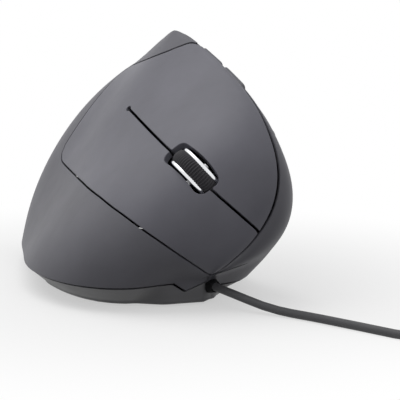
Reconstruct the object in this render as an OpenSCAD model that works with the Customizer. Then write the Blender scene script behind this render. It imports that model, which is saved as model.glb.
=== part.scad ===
// Vertical ergonomic mouse, right-handed, with its cable.
// X points to the thumb side, -Y to the cable end, Z up; the feet stand on Z = 0.

/* [Body] */
// Overall length, nose to tail
body_length = 124; // [112:1:136]
// Overall width across the shells
body_width = 68.6; // [62:0.2:76]
// Height of the ridge
body_height = 75; // [68:0.5:82]
// Height of the seam between the shells and the base
seam_height = 7; // [6:0.25:8]
// Wall of the shells and keys
wall = 2; // [1.6:0.1:2.4]
// Depth of the V-shaped tooth at the lower front of the palm shell
tooth_depth = 2.4; // [1.5:0.1:3]
// How far the front of the thumb shell reaches below the seam
thumb_dip = 2.2; // [1.6:0.1:2.6]

/* [Seams] */
// Gap of the fixed seams
seam_gap = 0.5; // [0.4:0.05:0.7]
// Gap beside the front of the keys, where they swing towards the thumb shell
key_gap = 1.2; // [1:0.05:1.5]
// Width of the slit between the two keys
slit_w = 1; // [0.8:0.1:1.4]
// Radius of the round relief at the rear end of the slit
slit_head_r = 0.95; // [0.8:0.05:1.2]
// Gap at the line where the keys flex
hinge_gap = 0.35; // [0.3:0.05:0.5]

/* [Wheel] */
// Diameter of the scroll wheel over the tyre
wheel_d = 17.5; // [16.5:0.25:18]
// Height of the wheel above the face
wheel_rise = 2.8; // [2.5:0.05:3]
// Width of the rubber tyre
tyre_w = 4; // [3.4:0.2:4.6]
// Width of each bright rim
rim_w = 1.1; // [0.8:0.1:1.3]
// Number of ribs on the tyre
rib_count = 64; // [40:2:72]
// Depth of the grooves between the ribs
rib_depth = 0.5; // [0.3:0.05:0.7]
// Clearance between the wheel and the sides of its slot
slot_side = 0.9; // [0.7:0.1:1.3]
// Clearance between the wheel and the ends of its slot, at the underside of the keys
slot_end = 1.4; // [1.3:0.1:1.7]
// How far the slot reaches further to the rear than to the front
slot_back = 0.8; // [0.4:0.1:1]
// Diameter of the wheel axle
axle_d = 2.4; // [2:0.1:2.6]
// Radial clearance of the axle in its bush
axle_play = 0.06; // [0.04:0.01:0.1]

/* [Thumb buttons] */
// Height of the thumb buttons above the shell
thumb_rise = 1.4; // [1.1:0.1:1.7]
// Height of the resolution button above the shell
dpi_rise = 0.7; // [0.5:0.1:1]
// Gap round the thumb-side buttons
thumb_gap = 0.35; // [0.3:0.05:0.45]
// Thickness of the thumb-side buttons below the shell's surface
thumb_depth = 1.4; // [1.2:0.1:1.6]

/* [Switches and boards] */
// Length of a key switch
switch_l = 12.8; // [12:0.2:13.4]
// Width of a key switch
switch_w = 5.8; // [5.4:0.1:6.2]
// Height of a key switch
switch_h = 6.5; // [6:0.1:7]
// Side of a small push switch
tact_w = 3.6; // [3.2:0.1:4]
// Height of a small push switch on the side board
tact_h = 1.5; // [1.3:0.05:1.6]
// Height of a plunger above its switch
plunger_rise = 0.7; // [0.6:0.05:0.9]
// Diameter of a plunger
plunger_d = 2.4; // [2:0.1:2.8]
// Radial clearance of a plunger
plunger_play = 0.12; // [0.1:0.01:0.16]
// Thickness of the circuit boards
board_t = 1.6; // [1:0.1:1.8]
// Depth of the button board below the face
board_drop = 16; // [15.6:0.1:17]
// Gap left between pieces that press each other
touch_gap = 0.06; // [0.04:0.01:0.1]

/* [Base] */
// Thickness of the base floor
floor_t = 1.6; // [1.2:0.1:2]
// Thickness of the glide feet
foot_t = 0.6; // [0.5:0.05:0.9]
// How far the lower edge of the base lies inside the seam
base_inset = 7.5; // [6.5:0.25:8]
// Height of the main board's posts above the floor
post_h = 3; // [2.6:0.1:3.4]

/* [Fasteners] */
// Diameter of the screws' shanks
screw_d = 2.2; // [1.8:0.1:2.4]
// Diameter of the screws' heads
head_d = 4; // [3.6:0.1:4.4]
// Height of the screws' heads
head_h = 1.4; // [1.2:0.1:1.6]
// Diameter of the screw bosses
boss_d = 5.6; // [5:0.1:6]
// Radial clearance round the screws' shanks
screw_play = 0.05; // [0.03:0.01:0.1]

/* [Cable] */
// Diameter of the cable
cable_d = 2.4; // [2.2:0.05:2.5]
// Diameter of the put-away coil at the middle of its turns
coil_d = 35; // [34.5:0.1:36]
// Turns in each layer of the coil
layer_turns = 2.75; // [2.25:0.5:2.75]
// Sideways step of the coil from turn to turn
coil_step = 3.4; // [3.4:0.02:3.5]
// Height of one layer of the coil
layer_h = 3; // [3:0.02:3.2]
// Width of the plug's moulding
plug_w = 11; // [10:0.2:12]
// Height of the plug's moulding
plug_h = 7; // [6.4:0.2:7.6]
// Length of the plug's moulding
plug_l = 15; // [13:0.5:17]

/* [Hidden] */
$fn = 16;

shell_grey = [0.25, 0.25, 0.27];
panel_grey = [0.30, 0.30, 0.32];
base_grey = [0.21, 0.21, 0.22];
board_green = [0.10, 0.32, 0.18];
switch_black = [0.10, 0.10, 0.11];
steel = [0.70, 0.71, 0.73];

// Body surface
// Eight hand-set curves run from the nose (s = 0) to the tail (s = 1). At each s the section goes from the
// base on the button side (u = 0) over the ridge (u = 1) to the base on the thumb side (u = 2).
// The curves are drawn for a body of form_size and stretched to the wanted size.
form_size = [68.6, 124, 75];
form_shift = [5.04, -0.04, 0];
fit = [body_width / form_size.x, body_length / form_size.y, body_height / form_size.z];
ridge = [
    [-1, -49, 8], [7, -57, 14], [15, -61, 25], [18.5, -61, 41], [17.5, -51, 55.5], [17, -31, 66],
    [16, -11, 73.7], [14, 2.1, 78.2], [12, 20.5, 65.7], [9, 40, 59.6], [5, 55, 31], [0, 61, 8]
];
palm_rim = [
    [3.4, -49.2], [-11, -47], [-22, -50], [-32, -45], [-39, -32], [-40, -14],
    [-37, 0], [-33, 11], [-29, 24], [-24, 38], [-15, 53], [-2, 61]
];
thumb_rim = [
    [2, -47], [9, -47], [16, -45], [22, -39], [26, -30], [29, -17],
    [29.5, -4], [29, 8], [28, 22], [24, 38], [14, 53], [2, 61]
];
palm_rise = [
    [0, -1, 1], [-1, -4, 5], [-2, -6, 12], [-1, -6, 18], [3, -3, 20], [6, -1, 18],
    [8, 0, 16], [8, 0, 16], [6, 1, 16], [2, 2, 15], [0, 3, 10], [0, 2, 1]
];
palm_crown = [
    [-1, -1, 0], [-5, -2, -1], [-11, -3, 0], [-16, -2, 2], [-18, -3, -3], [-17, -2, -10],
    [-14, 0, -13], [-12, 2, -15], [-13, 3, -13], [-13, 5, -8], [-9, 5, -3], [-2, 1, 0]
];
thumb_crown = [
    [1, 0, 0], [4, 0, -1], [7, 2, -3], [8, 4, -5], [6, 6, -9], [3, 3, -16],
    [2, 1, -18], [2, 0, -19], [2, 1, -17], [2, 3, -13], [2, 4, -7], [1, 1, 0]
];
thumb_rise_in = [
    [0, -1, 1], [3, -3, 4], [8, -4, 9], [10, -3, 13], [5, -2, 11], [-2, 0, 9],
    [-6, 0, 7], [-7, 0, 6], [-6, 0, 7], [-2, 1, 8], [1, 2, 6], [0, 1, 1]
];
ridge_round = [0.5, 1.5, 2.5, 3, 3, 3, 2.5, 1.5, 2.5, 3, 2, 0.5];
fillet_u = 0.94;

function unit(v) = v / norm(v);
function mix(a, b, t) = a + (b - a) * t;
function clamp01(x) = min(1, max(0, x));
function ease(x) = let (t = clamp01(x)) t * t * (3 - 2 * t);
function stretch(v) = [v.x * fit.x, v.y * fit.y, v.z * fit.z];
function placed(p) = stretch([p.x + form_shift.x, p.y + form_shift.y, p.z]);
function on_seam(p) = [(p.x + form_shift.x) * fit.x, (p.y + form_shift.y) * fit.y, seam_height];

// Uniform cubic B-spline that passes through its first and last control values
function curve(c, s) =
    let (
        last = len(c) - 1,
        e = concat([2 * c[0] - c[1]], c, [2 * c[last] - c[last - 1]]),
        x = clamp01(s) * last,
        i = min(floor(x), last - 1),
        f = x - i
    )
    (pow(1 - f, 3) * e[i] + (3 * pow(f, 3) - 6 * f * f + 4) * e[i + 1]
        + (-3 * pow(f, 3) + 3 * f * f + 3 * f + 1) * e[i + 2] + pow(f, 3) * e[i + 3]) / 6;
function bezier(p, t) =
    pow(1 - t, 3) * p[0] + 3 * t * pow(1 - t, 2) * p[1] + 3 * t * t * (1 - t) * p[2] + pow(t, 3) * p[3];

ridge_c = [for (p = ridge) placed(p)];
palm_rim_c = [for (p = palm_rim) on_seam(p)];
thumb_rim_c = [for (p = thumb_rim) on_seam(p)];
palm_rise_c = [for (v = palm_rise) stretch(v)];
palm_crown_c = [for (v = palm_crown) stretch(v)];
thumb_crown_c = [for (v = thumb_crown) stretch(v)];
thumb_rise_c = [for (v = thumb_rise_in) stretch(v)];

function skin(s, u) =
    let (
        k = curve(ridge_c, s),
        r = curve(ridge_round, s),
        kp = k + r * unit(curve(palm_crown_c, s)),
        kt = k + r * unit(curve(thumb_crown_c, s))
    )
    u < fillet_u ? let (a = curve(palm_rim_c, s))
        bezier([a, a + curve(palm_rise_c, s), kp + curve(palm_crown_c, s), kp], u / fillet_u)
    : u > 2 - fillet_u ? let (b = curve(thumb_rim_c, s))
        bezier([b, b + curve(thumb_rise_c, s), kt + curve(thumb_crown_c, s), kt], (2 - u) / fillet_u)
    : let (t = (u - fillet_u) / (2 - 2 * fillet_u))
        pow(1 - t, 2) * kp + 2 * t * (1 - t) * k + t * t * kt;

probe = 0.004;
function along_s(s, u) = skin(min(1, s + probe), u) - skin(max(0, s - probe), u);
function along_u(s, u) = skin(s, min(2, u + probe)) - skin(s, max(0, u - probe));
function outward(s, u) = unit(cross(along_u(s, u), along_s(s, u)));
// Direction through the wall: level at the lower rims, and shorter and along the ridge's bisector beside
// the ridge, so that walls from both sides of the ridge stay clear of each other
function through(s, u) =
    let (
        n = outward(s, u),
        d = abs(u - 1) * norm(along_u(s, u)) / (2 * probe),
        side = clamp01((d - 0.8) / 4.2)
    )
    u == 0 || u == 2 ? unit([n.x, n.y, 0])
        : side < 1 ? mix(0.3, 1, side) * unit(mix(outward(s, 1), n, side)) : n;
// Steps in s and u that move a point by d along the surface
function step_s(s, u, d) = d * 2 * probe / norm(along_s(s, u));
function step_u(s, u, d) = d * 2 * probe / norm(along_u(s, u));

// Seams of the button panel, as heights u over s
nose_s = 0.02;
key_nose_s = 0.03;
tail_s = 0.99;
panel_peak_s = 0.545;
panel_rear_s = 0.7635;
hinge_s = 0.58;
// Places at which the pieces on both sides of the panel's rear seams share their corners
seam_places = [0.6, 0.62, 0.64, 0.66, 0.68, 0.7, 0.7245, 0.7375, 0.747, 0.756];
// Hand-set seams: the lower one runs straight down the front and meets the ridge at the nose, and the upper
// one runs from the ridge to the rear; both end at the panel's straight rear edge
low_seam = [
    [0.02, 0.986], [0.025, 0.873], [0.03, 0.754], [0.04, 0.627], [0.05, 0.57], [0.06, 0.537], [0.08, 0.496],
    [0.12, 0.443], [0.17, 0.397], [0.24, 0.363], [0.34, 0.36], [0.42, 0.372], [0.5, 0.375], [0.58, 0.368],
    [0.62, 0.368], [0.66, 0.377], [0.7, 0.397], [0.7245, 0.412], [0.7375, 0.423], [0.747, 0.438],
    [0.756, 0.458], [0.7635, 0.498]
];
high_seam = [
    [0.545, 1], [0.557, 0.94], [0.57, 0.901], [0.59, 0.855], [0.6, 0.839], [0.62, 0.819], [0.64, 0.813],
    [0.66, 0.821], [0.68, 0.841], [0.7, 0.869], [0.72, 0.9], [0.737, 0.925], [0.75, 0.928], [0.7635, 0.915]
];
function panel_low(s) = lookup(s, low_seam);
function panel_high(s) = lookup(s, high_seam);
// The gap at the keys' outer edge is wide at the front and narrow towards the line where they flex
function edge_gap(s) = mix(seam_gap, key_gap, clamp01((0.45 - s) / 0.15));
// Wall of the shells, thinner at the two tips where the sections close up
function wall_at(s) = wall * min(1, max(0.3, min(s + 0.01, 1.005 - s) / 0.1));

// Closed shell over the cells of a grid of [s, u] places for which used(i, j) is 1
function shell_faces(ni, nj, used) =
    let (
        inner = ni * nj,
        at = function(i, j) i * nj + j,
        on = function(i, j) i >= 0 && j >= 0 && i < ni - 1 && j < nj - 1 && used(i, j)
    )
    [
        for (i = [0:ni - 2], j = [0:nj - 2]) if (used(i, j))
            let (a = at(i, j), b = at(i + 1, j), c = at(i + 1, j + 1), d = at(i, j + 1))
            each concat(
                [[a, b, c], [a, c, d]],
                [[inner + a, inner + c, inner + b], [inner + a, inner + d, inner + c]],
                on(i, j - 1) ? [] : [[a, inner + a, inner + b], [a, inner + b, b]],
                on(i, j + 1) ? [] : [[d, c, inner + c], [d, inner + c, inner + d]],
                on(i - 1, j) ? [] : [[a, d, inner + d], [a, inner + d, inner + a]],
                on(i + 1, j) ? [] : [[b, inner + b, inner + c], [b, inner + c, c]]
            )
    ];
module shell(grid, used, rise = 0, depth = undef) {
    flat = [for (col = grid) each col];
    out = [for (p = flat) skin(p[0], p[1]) + rise * outward(p[0], p[1]) + lower_edge(p[0], p[1])];
    in = [
        for (p = flat)
            skin(p[0], p[1]) - (is_undef(depth) ? wall_at(p[0]) : depth) * through(p[0], p[1])
                + lower_edge(p[0], p[1])
    ];
    polyhedron(concat(out, in), shell_faces(len(grid), len(grid[0]), used));
}
always = function(i, j) true;
function spread(a, b, n) = [for (i = [0:n]) mix(a, b, i / n)];
function column(s, heights) = [for (u = heights) [s, u]];
// The V-shaped tooth of the palm shell's lower edge
tooth_s = [0.02, 0.06, 0.084];
function tooth(s) =
    tooth_depth * clamp01(min((s - tooth_s[0]) / (tooth_s[1] - tooth_s[0]),
        (tooth_s[2] - s) / (tooth_s[2] - tooth_s[1])));
// At the front the thumb shell reaches lower and follows the flank of the base inwards
dip_lean = 1.2;
function thumb_drop(s) = thumb_dip * (1 - ease((s - 0.2) / 0.25));
function lower_edge(s, u) =
    u == 0 ? [0, 0, -tooth(s)]
    : u == 2 ? [0, 0, -thumb_drop(s)] - dip_lean * thumb_drop(s) * through(s, u)
    : [0, 0, 0];

// Face frame: its origin lies on the panel at the wheel, X runs along the slit to the front,
// Y up the slope and Z out of the face
face_s = 0.322;
face_u = 0.603;
face_roll = 9;
face_o = skin(face_s, face_u);
face_n = outward(face_s, face_u);
slit_run = skin(0.26, 0.632) - skin(0.386, 0.6);
face_x = unit(slit_run - face_n * (face_n * slit_run));
face_z = unit(face_n * cos(face_roll) - cross(face_n, face_x) * sin(face_roll));
face_y = cross(face_z, face_x);
function in_face(p) = [(p - face_o) * face_x, (p - face_o) * face_y, (p - face_o) * face_z];
module to_frame(o, x, y, z)
    multmatrix([[x.x, y.x, z.x, o.x], [x.y, y.y, z.y, o.y], [x.z, y.z, z.z, o.z], [0, 0, 0, 1]]) children();
module on_face() to_frame(face_o, face_x, face_y, face_z) children();

// Thumb frame: X runs along the thumb buttons to the front, Y down and Z out of the thumb side
thumb_u = 1.17;
forward_span = [0.43, 0.481];
back_span = [0.489, 0.54];
dpi_span = [0.345, 0.378];
thumb_rows = [1.05, 1.2];
dpi_rows = [1.13, 1.2];
thumb_o = skin((forward_span[0] + back_span[1]) / 2, thumb_u);
thumb_z = outward((forward_span[0] + back_span[1]) / 2, thumb_u);
thumb_run = skin(forward_span[0], thumb_u) - skin(back_span[1], thumb_u);
thumb_x = unit(thumb_run - thumb_z * (thumb_z * thumb_run));
thumb_y = cross(thumb_z, thumb_x);
function in_thumb(p) = [(p - thumb_o) * thumb_x, (p - thumb_o) * thumb_y, (p - thumb_o) * thumb_z];
module on_thumb() to_frame(thumb_o, thumb_x, thumb_y, thumb_z) children();

// Wheel and switches, in the face frame
wheel_r = wheel_d / 2;
wheel_w = tyre_w + 2 * rim_w;
wheel_z = wheel_rise - wheel_r;
rim_r = wheel_r - 0.9;
rim_t = 1.6;
slot_w = wheel_w + 2 * slot_side;
slot_l = 2 * sqrt(pow(wheel_r, 2) - pow(wheel_z + wall, 2)) + 2 * slot_end;
board_z = -board_drop;
encoder_y = [-13.2, -7.8];
bush_y = [3.8, 7];
bush_r = axle_d / 2 + 0.6;
fork_play = 0.3;
fork_t = 1.8;
middle_y = (bush_y[0] + bush_y[1]) / 2;
middle_h = wheel_z - bush_r - touch_gap - plunger_rise - board_z;
left_place = in_face(skin(0.408, 0.698));
right_place = in_face(skin(0.4, 0.507));
switch_top = board_z + switch_h;
board_x = [-18.5, 13.2];
board_y = [-15, 13.6];
window_l = 2 * (wheel_r - 1.3);
window_w = wheel_w + 1.4;
frame_x = [-18.5, 12];
frame_y = [-16, 12.6];
frame_t = 2.2;
frame_z = board_z - board_t;
frame_bosses = [in_face(skin(0.393, 0.325)), in_face(skin(0.252, 0.278))];
board_screw_places = [[9.5, 9], [9.5, -10]];

// Thumb-side switches, in the thumb frame
side_board_t = 0.8;
side_post = 0.8;
side_drop = thumb_depth + side_post + touch_gap + plunger_rise + tact_h;
function mid(span) = (span[0] + span[1]) / 2;
forward_place = in_thumb(skin(mid(forward_span), thumb_u));
back_place = in_thumb(skin(mid(back_span), thumb_u));
dpi_place = in_thumb(skin(mid(dpi_span), mid(dpi_rows)));
side_board_x = [back_place.x - 5, dpi_place.x + 4.5];
side_board_y = [-tact_w / 2 - 0.1, 7.4];
side_board_front_y = [-tact_w / 2 - 0.1, tact_w / 2 + 1];
side_board_step_x = forward_place.x + 6.4;
side_bosses = [in_thumb(skin(0.488, 1.25)), in_thumb(skin(0.4, 1.25))];
side_boss_d = 4;
side_screw_d = 1.6;

// Strain relief, set back from the front of the lower rim
relief_back = 11.04;
relief_p = [7.5, thumb_rim_c[0].y + relief_back, 5.4];

// Base
tray_z = foot_t;
deck_z = tray_z + floor_t;
rim_gap = 0.4;
base_steps = 30;
palm_rim_places = columns([tooth_s[0], tooth_s[1], tooth_s[2], 0.985], [1, 1, base_steps - 2]);
rim_loop = concat(
    [for (s = palm_rim_places) concat(curve(palm_rim_c, s), [tooth(s), 0])],
    [for (s = spread(0.985, 0.02, base_steps)) concat(curve(thumb_rim_c, s), thumb_drop(s) * [1, dip_lean])]
);
function loop_at(i) = rim_loop[(i + len(rim_loop)) % len(rim_loop)];
function loop_in(i) =
    let (d = loop_at(i + 3) - loop_at(i - 3)) [d.y, -d.x, 0] / norm([d.x, d.y]);
function loop_ring(inset, z, dip) = [
    for (i = [0:len(rim_loop) - 1])
        let (p = loop_at(i)) [p.x, p.y, 0] + (inset + dip * p[4]) * loop_in(i) + [0, 0, z - dip * p[3]]
];
// Screw bosses of the shells: place s on the rim and height u of the rib that ties each to its wall
palm_boss_s = [0.4, 0.68];
thumb_boss_s = [0.42, 0.68];
palm_rib_u = 0.2;
thumb_rib_u = 1.8;
boss_inset = base_inset + boss_d / 2 + 0.9;
function rim_inset(c, s, side) =
    let (d = curve(c, s + probe) - curve(c, s - probe))
    curve(c, s) + boss_inset * side * [d.y, -d.x, 0] / norm(d);
palm_bosses = [for (s = palm_boss_s) rim_inset(palm_rim_c, s, 1)];
thumb_bosses = [for (s = thumb_boss_s) rim_inset(thumb_rim_c, s, -1)];
function rib_end(s, u, depth) = skin(s, u) - depth * wall * outward(s, u);
palm_ribs = [for (s = palm_boss_s) rib_end(s, palm_rib_u, 0.5)];
thumb_ribs = [for (s = thumb_boss_s) rib_end(s, thumb_rib_u, 0.6)];
rib_t = 2;
rib_h = 5;
boss_split = seam_height - 1;
boss_gap = 0.1;
screw_reach = 6;
main_board_x = [-11.4, 12];
main_board_y = [relief_p.y + 4, 26];
main_board_z = deck_z + post_h;
main_posts = [[-8, -22], [9, 22]];
sensor_place = [0, 2];
lens_d = 7;
feet_places = [[-15, -27, 40, 14], [10, -30, 0, 12], [-8, 31, -60, 14], [11, 31, 60, 14]];
foot_w = 5;

// Cable: hand-set route of the free stretch, then the coil, wound inwards and outwards layer by layer
route = [
    [7.5, -50.02, 5.4], [7.5, -51, 5.4], [8, -54, 5.2], [9.4, -57.6, 4.6], [11.6, -61.3, 3.6],
    [14.4, -65, 2.4], [17.2, -68.8, 1.6], [19.4, -72.4, 1.3], [21.5, -77, 1.3], [23.6, -82, 1.3],
    [25.7, -87.5, 1.3], [27.8, -93, 1.3], [29.8, -98.5, 1.3], [31.8, -104, 1.3], [33.6, -109.2, 1.6],
    [35.1, -113.7, 2.1], [36.3, -117.3, 2.5], [37.3, -120.3, 2.5]
];
relief_d = 4.6;
relief_l = 14;
relief_play = 0.2;
route_end = route[len(route) - 1];
route_dir = unit(route_end - route[len(route) - 2]);
coil_layers = 4;
climb_turns = 0.5;
coil_turns = coil_layers * layer_turns + (coil_layers - 1) * climb_turns;
coil_in_r = (coil_d - layer_turns * coil_step) / 2;
coil_out_r = coil_in_r + layer_turns * coil_step;
coil_top = route_end.z + (coil_layers - 1) * layer_h;
coil_start = atan2(-route_dir.x, route_dir.y);
coil_centre = route_end + cable_d * route_dir - coil_out_r * [cos(coil_start), sin(coil_start), 0];
plug_gap = 0.25;
plug_z = coil_top + cable_d / 2 + plug_gap + plug_h / 2;
// Share of the last turn in which the cable climbs to the plug that lies on the coil
lift_turns = 0.2;
tail_r = 13;
loop_rings = 24;
function coil_point(t) =
    let (
        block = layer_turns + climb_turns,
        k = min(floor(t / block), coil_layers - 1),
        f = t - k * block,
        turn = min(f, layer_turns) * coil_step,
        r = k % 2 == 0 ? coil_out_r - turn : coil_in_r + turn,
        climb = k + ease((f - layer_turns) / climb_turns),
        lift = ease((t - coil_turns + lift_turns) / lift_turns),
        a = coil_start + 360 * t
    )
    coil_centre + [r * cos(a), r * sin(a), climb * layer_h + lift * (plug_z - coil_top)];
tail_a = coil_start + 360 * coil_turns;
tail_rho = [cos(tail_a), sin(tail_a), 0];
tail_tau = [-tail_rho.y, tail_rho.x, 0];
tail_centre = coil_centre + (coil_out_r - tail_r) * tail_rho + [0, 0, plug_z - coil_centre.z];
plug_p = tail_centre + tail_r * tail_tau - cable_d * tail_rho;
coil_steps = round(coil_turns * loop_rings);
coil_path = concat(
    [route_end],
    [for (i = [0:coil_steps]) coil_point(coil_turns * i / coil_steps)],
    [for (a = [15:15:90]) tail_centre + tail_r * [cos(tail_a + a), sin(tail_a + a), 0]],
    [plug_p]
);
// Least gap between turns, measured on the points of the path that lie half a turn or more apart
half_turn = loop_rings / 2;
coil_gap = min([
    for (i = [0:len(coil_path) - 1 - half_turn], j = [i + half_turn:len(coil_path) - 1])
        norm(coil_path[i] - coil_path[j])
]) - cable_d;
function sum(v) = v * [for (x = v) 1];
function path_length(p) = sum([for (i = [1:len(p) - 1]) norm(p[i] - p[i - 1])]);
echo(least_gap_between_turns = coil_gap, cable_length = path_length(coil_path) + path_length(route));
tie_t = 0.8;
tie_play = 0.3;
tie_w = 5;

module tube(points, d, sides) {
    n = len(points);
    dirs = [for (i = [0:n - 1]) unit(points[min(n - 1, i + 1)] - points[max(0, i - 1)])];
    rings = [
        for (i = [0:n - 1])
            let (a = unit(cross(dirs[i], [0, 0, 1])), b = cross(a, dirs[i]))
            for (k = [0:sides - 1]) points[i] + d / 2 * (cos(360 * k / sides) * a + sin(360 * k / sides) * b)
    ];
    faces = concat(
        [
            for (i = [0:n - 2], k = [0:sides - 1])
                let (a = i * sides + k, b = i * sides + (k + 1) % sides)
                each [[a, b, a + sides], [b, b + sides, a + sides]]
        ],
        [for (k = [1:sides - 2]) [0, k + 1, k]],
        [for (k = [1:sides - 2]) let (o = (n - 1) * sides) [o, o + k, o + k + 1]]
    );
    polyhedron(rings, faces);
}

// Grid columns between breaks, with a count of cells for each stretch
function columns(breaks, counts) = concat(
    [breaks[0]],
    [for (k = [0:len(counts) - 1], i = [1:counts[k]]) mix(breaks[k], breaks[k + 1], i / counts[k])]
);
function total(v, n) = n == 0 ? 0 : v[n - 1] + total(v, n - 1);

half_seam = seam_gap / 2;
// Steps in u from the middle of a seam to its edge, larger where the seam runs steeply
seam_probe = 0.003;
function seam_step(s, u, rise) =
    step_u(s, u, half_seam)
        * sqrt(1 + pow(rise / (2 * seam_probe) * norm(along_u(s, u)) / norm(along_s(s, u)), 2));
function low_step(s) =
    seam_step(s, panel_low(s), panel_low(s + seam_probe) - panel_low(s - seam_probe));
function high_step(s) =
    seam_step(s, panel_high(s), panel_high(s + seam_probe) - panel_high(s - seam_probe));
peak_s = panel_peak_s + 0.016;
rear_s = panel_rear_s + step_s(panel_rear_s, 0.62, half_seam);
palm_front_counts = [4, 2, 10];
palm_rear_count = 8;
palm_cols = concat(
    columns([nose_s, tooth_s[1], tooth_s[2], peak_s], palm_front_counts),
    [mid([peak_s, hinge_s]), hinge_s], seam_places,
    columns([rear_s, tail_s], [palm_rear_count])
);
palm_low_rows = 6;
palm_mid_rows = 7;
palm_high_rows = 4;
palm_grid = [
    for (s = palm_cols)
        let (
            low = panel_low(s) - low_step(s),
            high = panel_high(s) + high_step(s),
            top = 1 - step_u(s, 1, half_seam)
        )
        column(s, concat(
            spread(0, low, palm_low_rows),
            [for (i = [1:palm_mid_rows - 1]) mix(low, min(high, top), i / palm_mid_rows)],
            spread(min(high, top), top, palm_high_rows)
        ))
];
peak_i = total(palm_front_counts, 3);
rear_i = len(palm_cols) - 1 - palm_rear_count;
palm_used = function(i, j)
    j < palm_low_rows || (j < palm_low_rows + palm_mid_rows ? i >= rear_i : i >= peak_i);

window_s = step_s(mid(back_span), thumb_u, thumb_gap);
window_u = step_u(mid(back_span), thumb_u, thumb_gap);
thumb_counts = [9, 3, 1, 3, 1, 3, 10];
thumb_cols = columns([
    nose_s, dpi_span[0] - window_s, dpi_span[1] + window_s, forward_span[0] - window_s,
    forward_span[1] + window_s, back_span[0] - window_s, back_span[1] + window_s, tail_s
], thumb_counts);
thumb_rows_all = [
    1, thumb_rows[0] - 2 * window_u, dpi_rows[0] - window_u, thumb_rows[1] + window_u,
    1.25, 1.36, 1.48, 1.6, 1.72, 1.82, 1.91, 2
];
// Close to the nose the rows are spread evenly, because the sections there are small
function thumb_row(s, u) =
    let (
        top = 1 + step_u(s, 1, (s < panel_peak_s ? edge_gap(s) : seam_gap) / 2),
        near = clamp01((0.2 - s) / 0.1)
    )
    max(mix(u, mix(top, 2, u - 1), near), top);
thumb_grid = [for (s = thumb_cols) column(s, [for (u = thumb_rows_all) thumb_row(s, u)])];
dpi_i = total(thumb_counts, 1);
forward_i = total(thumb_counts, 3);
back_i = total(thumb_counts, 5);
function within(i, start, n) = i >= start && i < start + n;
thumb_used = function(i, j)
    let (long = within(i, forward_i, thumb_counts[3]) || within(i, back_i, thumb_counts[5]))
    !(within(i, dpi_i, thumb_counts[1]) && j == 2) && !(long && within(j, 1, 2));

key_cols = columns(
    [key_nose_s, 0.05, 0.1, panel_peak_s, hinge_s - step_s(hinge_s, 0.6, hinge_gap / 2)],
    [2, 2, 12, 3]
);
key_rows = 10;
key_grid = [
    for (s = key_cols)
        column(s, spread(
            panel_low(s) + low_step(s),
            s < panel_peak_s ? 1 - step_u(s, 1, edge_gap(s) / 2) : panel_high(s) - high_step(s),
            key_rows
        ))
];
plate_cols = concat(
    [hinge_s + step_s(hinge_s, 0.6, hinge_gap / 2)], seam_places,
    [panel_rear_s - step_s(panel_rear_s, 0.62, half_seam)]
);
plate_rows = 7;
plate_grid = [
    for (s = plate_cols)
        column(s, spread(
            panel_low(s) + low_step(s),
            panel_high(s) - high_step(s),
            plate_rows
        ))
];
function button_grid(span, rows) =
    [for (s = spread(span[0], span[1], 3)) column(s, spread(rows[0], rows[1], 4))];

// Shapes that repeat
module rounded(l, w, r) {
    square([l - 2 * r, w], center = true);
    square([l, w - 2 * r], center = true);
    for (x = [-1, 1], y = [-1, 1]) translate([x * (l / 2 - r), y * (w / 2 - r)]) circle(r);
}
module box2(x, y) translate([x[0], y[0]]) square([x[1] - x[0], y[1] - y[0]]);
// Screw with its head at the bottom, shank upwards
module screw(d, head, h, reach) {
    cylinder(d = head, h = h);
    translate([0, 0, h]) cylinder(d = d, h = reach);
}
module boss_and_rib(p, end, top) {
    run = [end.x - p.x, end.y - p.y];
    translate([p.x, p.y, boss_split]) cylinder(d = boss_d, h = top - boss_split);
    translate([p.x, p.y, top - rib_h]) rotate([0, 0, atan2(run.y, run.x)])
        translate([0, -rib_t / 2, 0]) cube([norm(run), rib_t, rib_h]);
}
module boss_bore(p)
    translate([p.x, p.y, boss_split - 1]) cylinder(d = screw_d + 2 * screw_play, h = screw_reach + 1.6);
module relief_hole()
    translate(relief_p) rotate([90, 0, 0]) cylinder(d = relief_d + 2 * relief_play, h = relief_l + 10);

// Shells
module palm_shell() color(shell_grey) difference() {
    union() {
        shell(palm_grid, palm_used);
        for (i = [0:1]) boss_and_rib(palm_bosses[i], palm_ribs[i], palm_ribs[i].z + 1);
        on_face() for (p = frame_bosses)
            translate([p.x, p.y, frame_z]) cylinder(d = boss_d, h = p.z - 0.95 * wall - frame_z);
    }
    for (p = palm_bosses) boss_bore(p);
    on_face() for (p = frame_bosses)
        translate([p.x, p.y, frame_z - 1]) cylinder(d = screw_d + 2 * screw_play, h = screw_reach + 1.6);
}
module thumb_shell() color(shell_grey) difference() {
    union() {
        shell(thumb_grid, thumb_used);
        for (i = [0:1]) boss_and_rib(thumb_bosses[i], thumb_ribs[i], thumb_ribs[i].z + 1);
        on_thumb() for (p = side_bosses)
            translate([p.x, p.y, -side_drop]) cylinder(d = side_boss_d, h = p.z - wall / 2 + side_drop);
    }
    for (p = thumb_bosses) boss_bore(p);
    on_thumb() for (p = side_bosses)
        translate([p.x, p.y, -side_drop - 1]) cylinder(d = side_screw_d + 2 * screw_play, h = 4.4);
    relief_hole();
}
module button_plate() color(panel_grey) shell(plate_grid, always);
module keys() shell(key_grid, always);
slot_corner = 2.4;
module wheel_slot()
    translate([-slot_back / 2, 0, -wheel_d])
        linear_extrude(2 * wheel_d) rounded(slot_l, slot_w, slot_corner);
hinge_x = in_face(skin(hinge_s, 0.61)).x;
module slit_head() translate([hinge_x + slit_head_r, 0, -wheel_d]) cylinder(r = slit_head_r, h = 2 * wheel_d);
module key_post(p)
    translate([p.x, p.y, switch_top + plunger_rise + touch_gap])
        cylinder(d = 3.6, h = p.z - wall / 2 - switch_top - plunger_rise - touch_gap);
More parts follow.
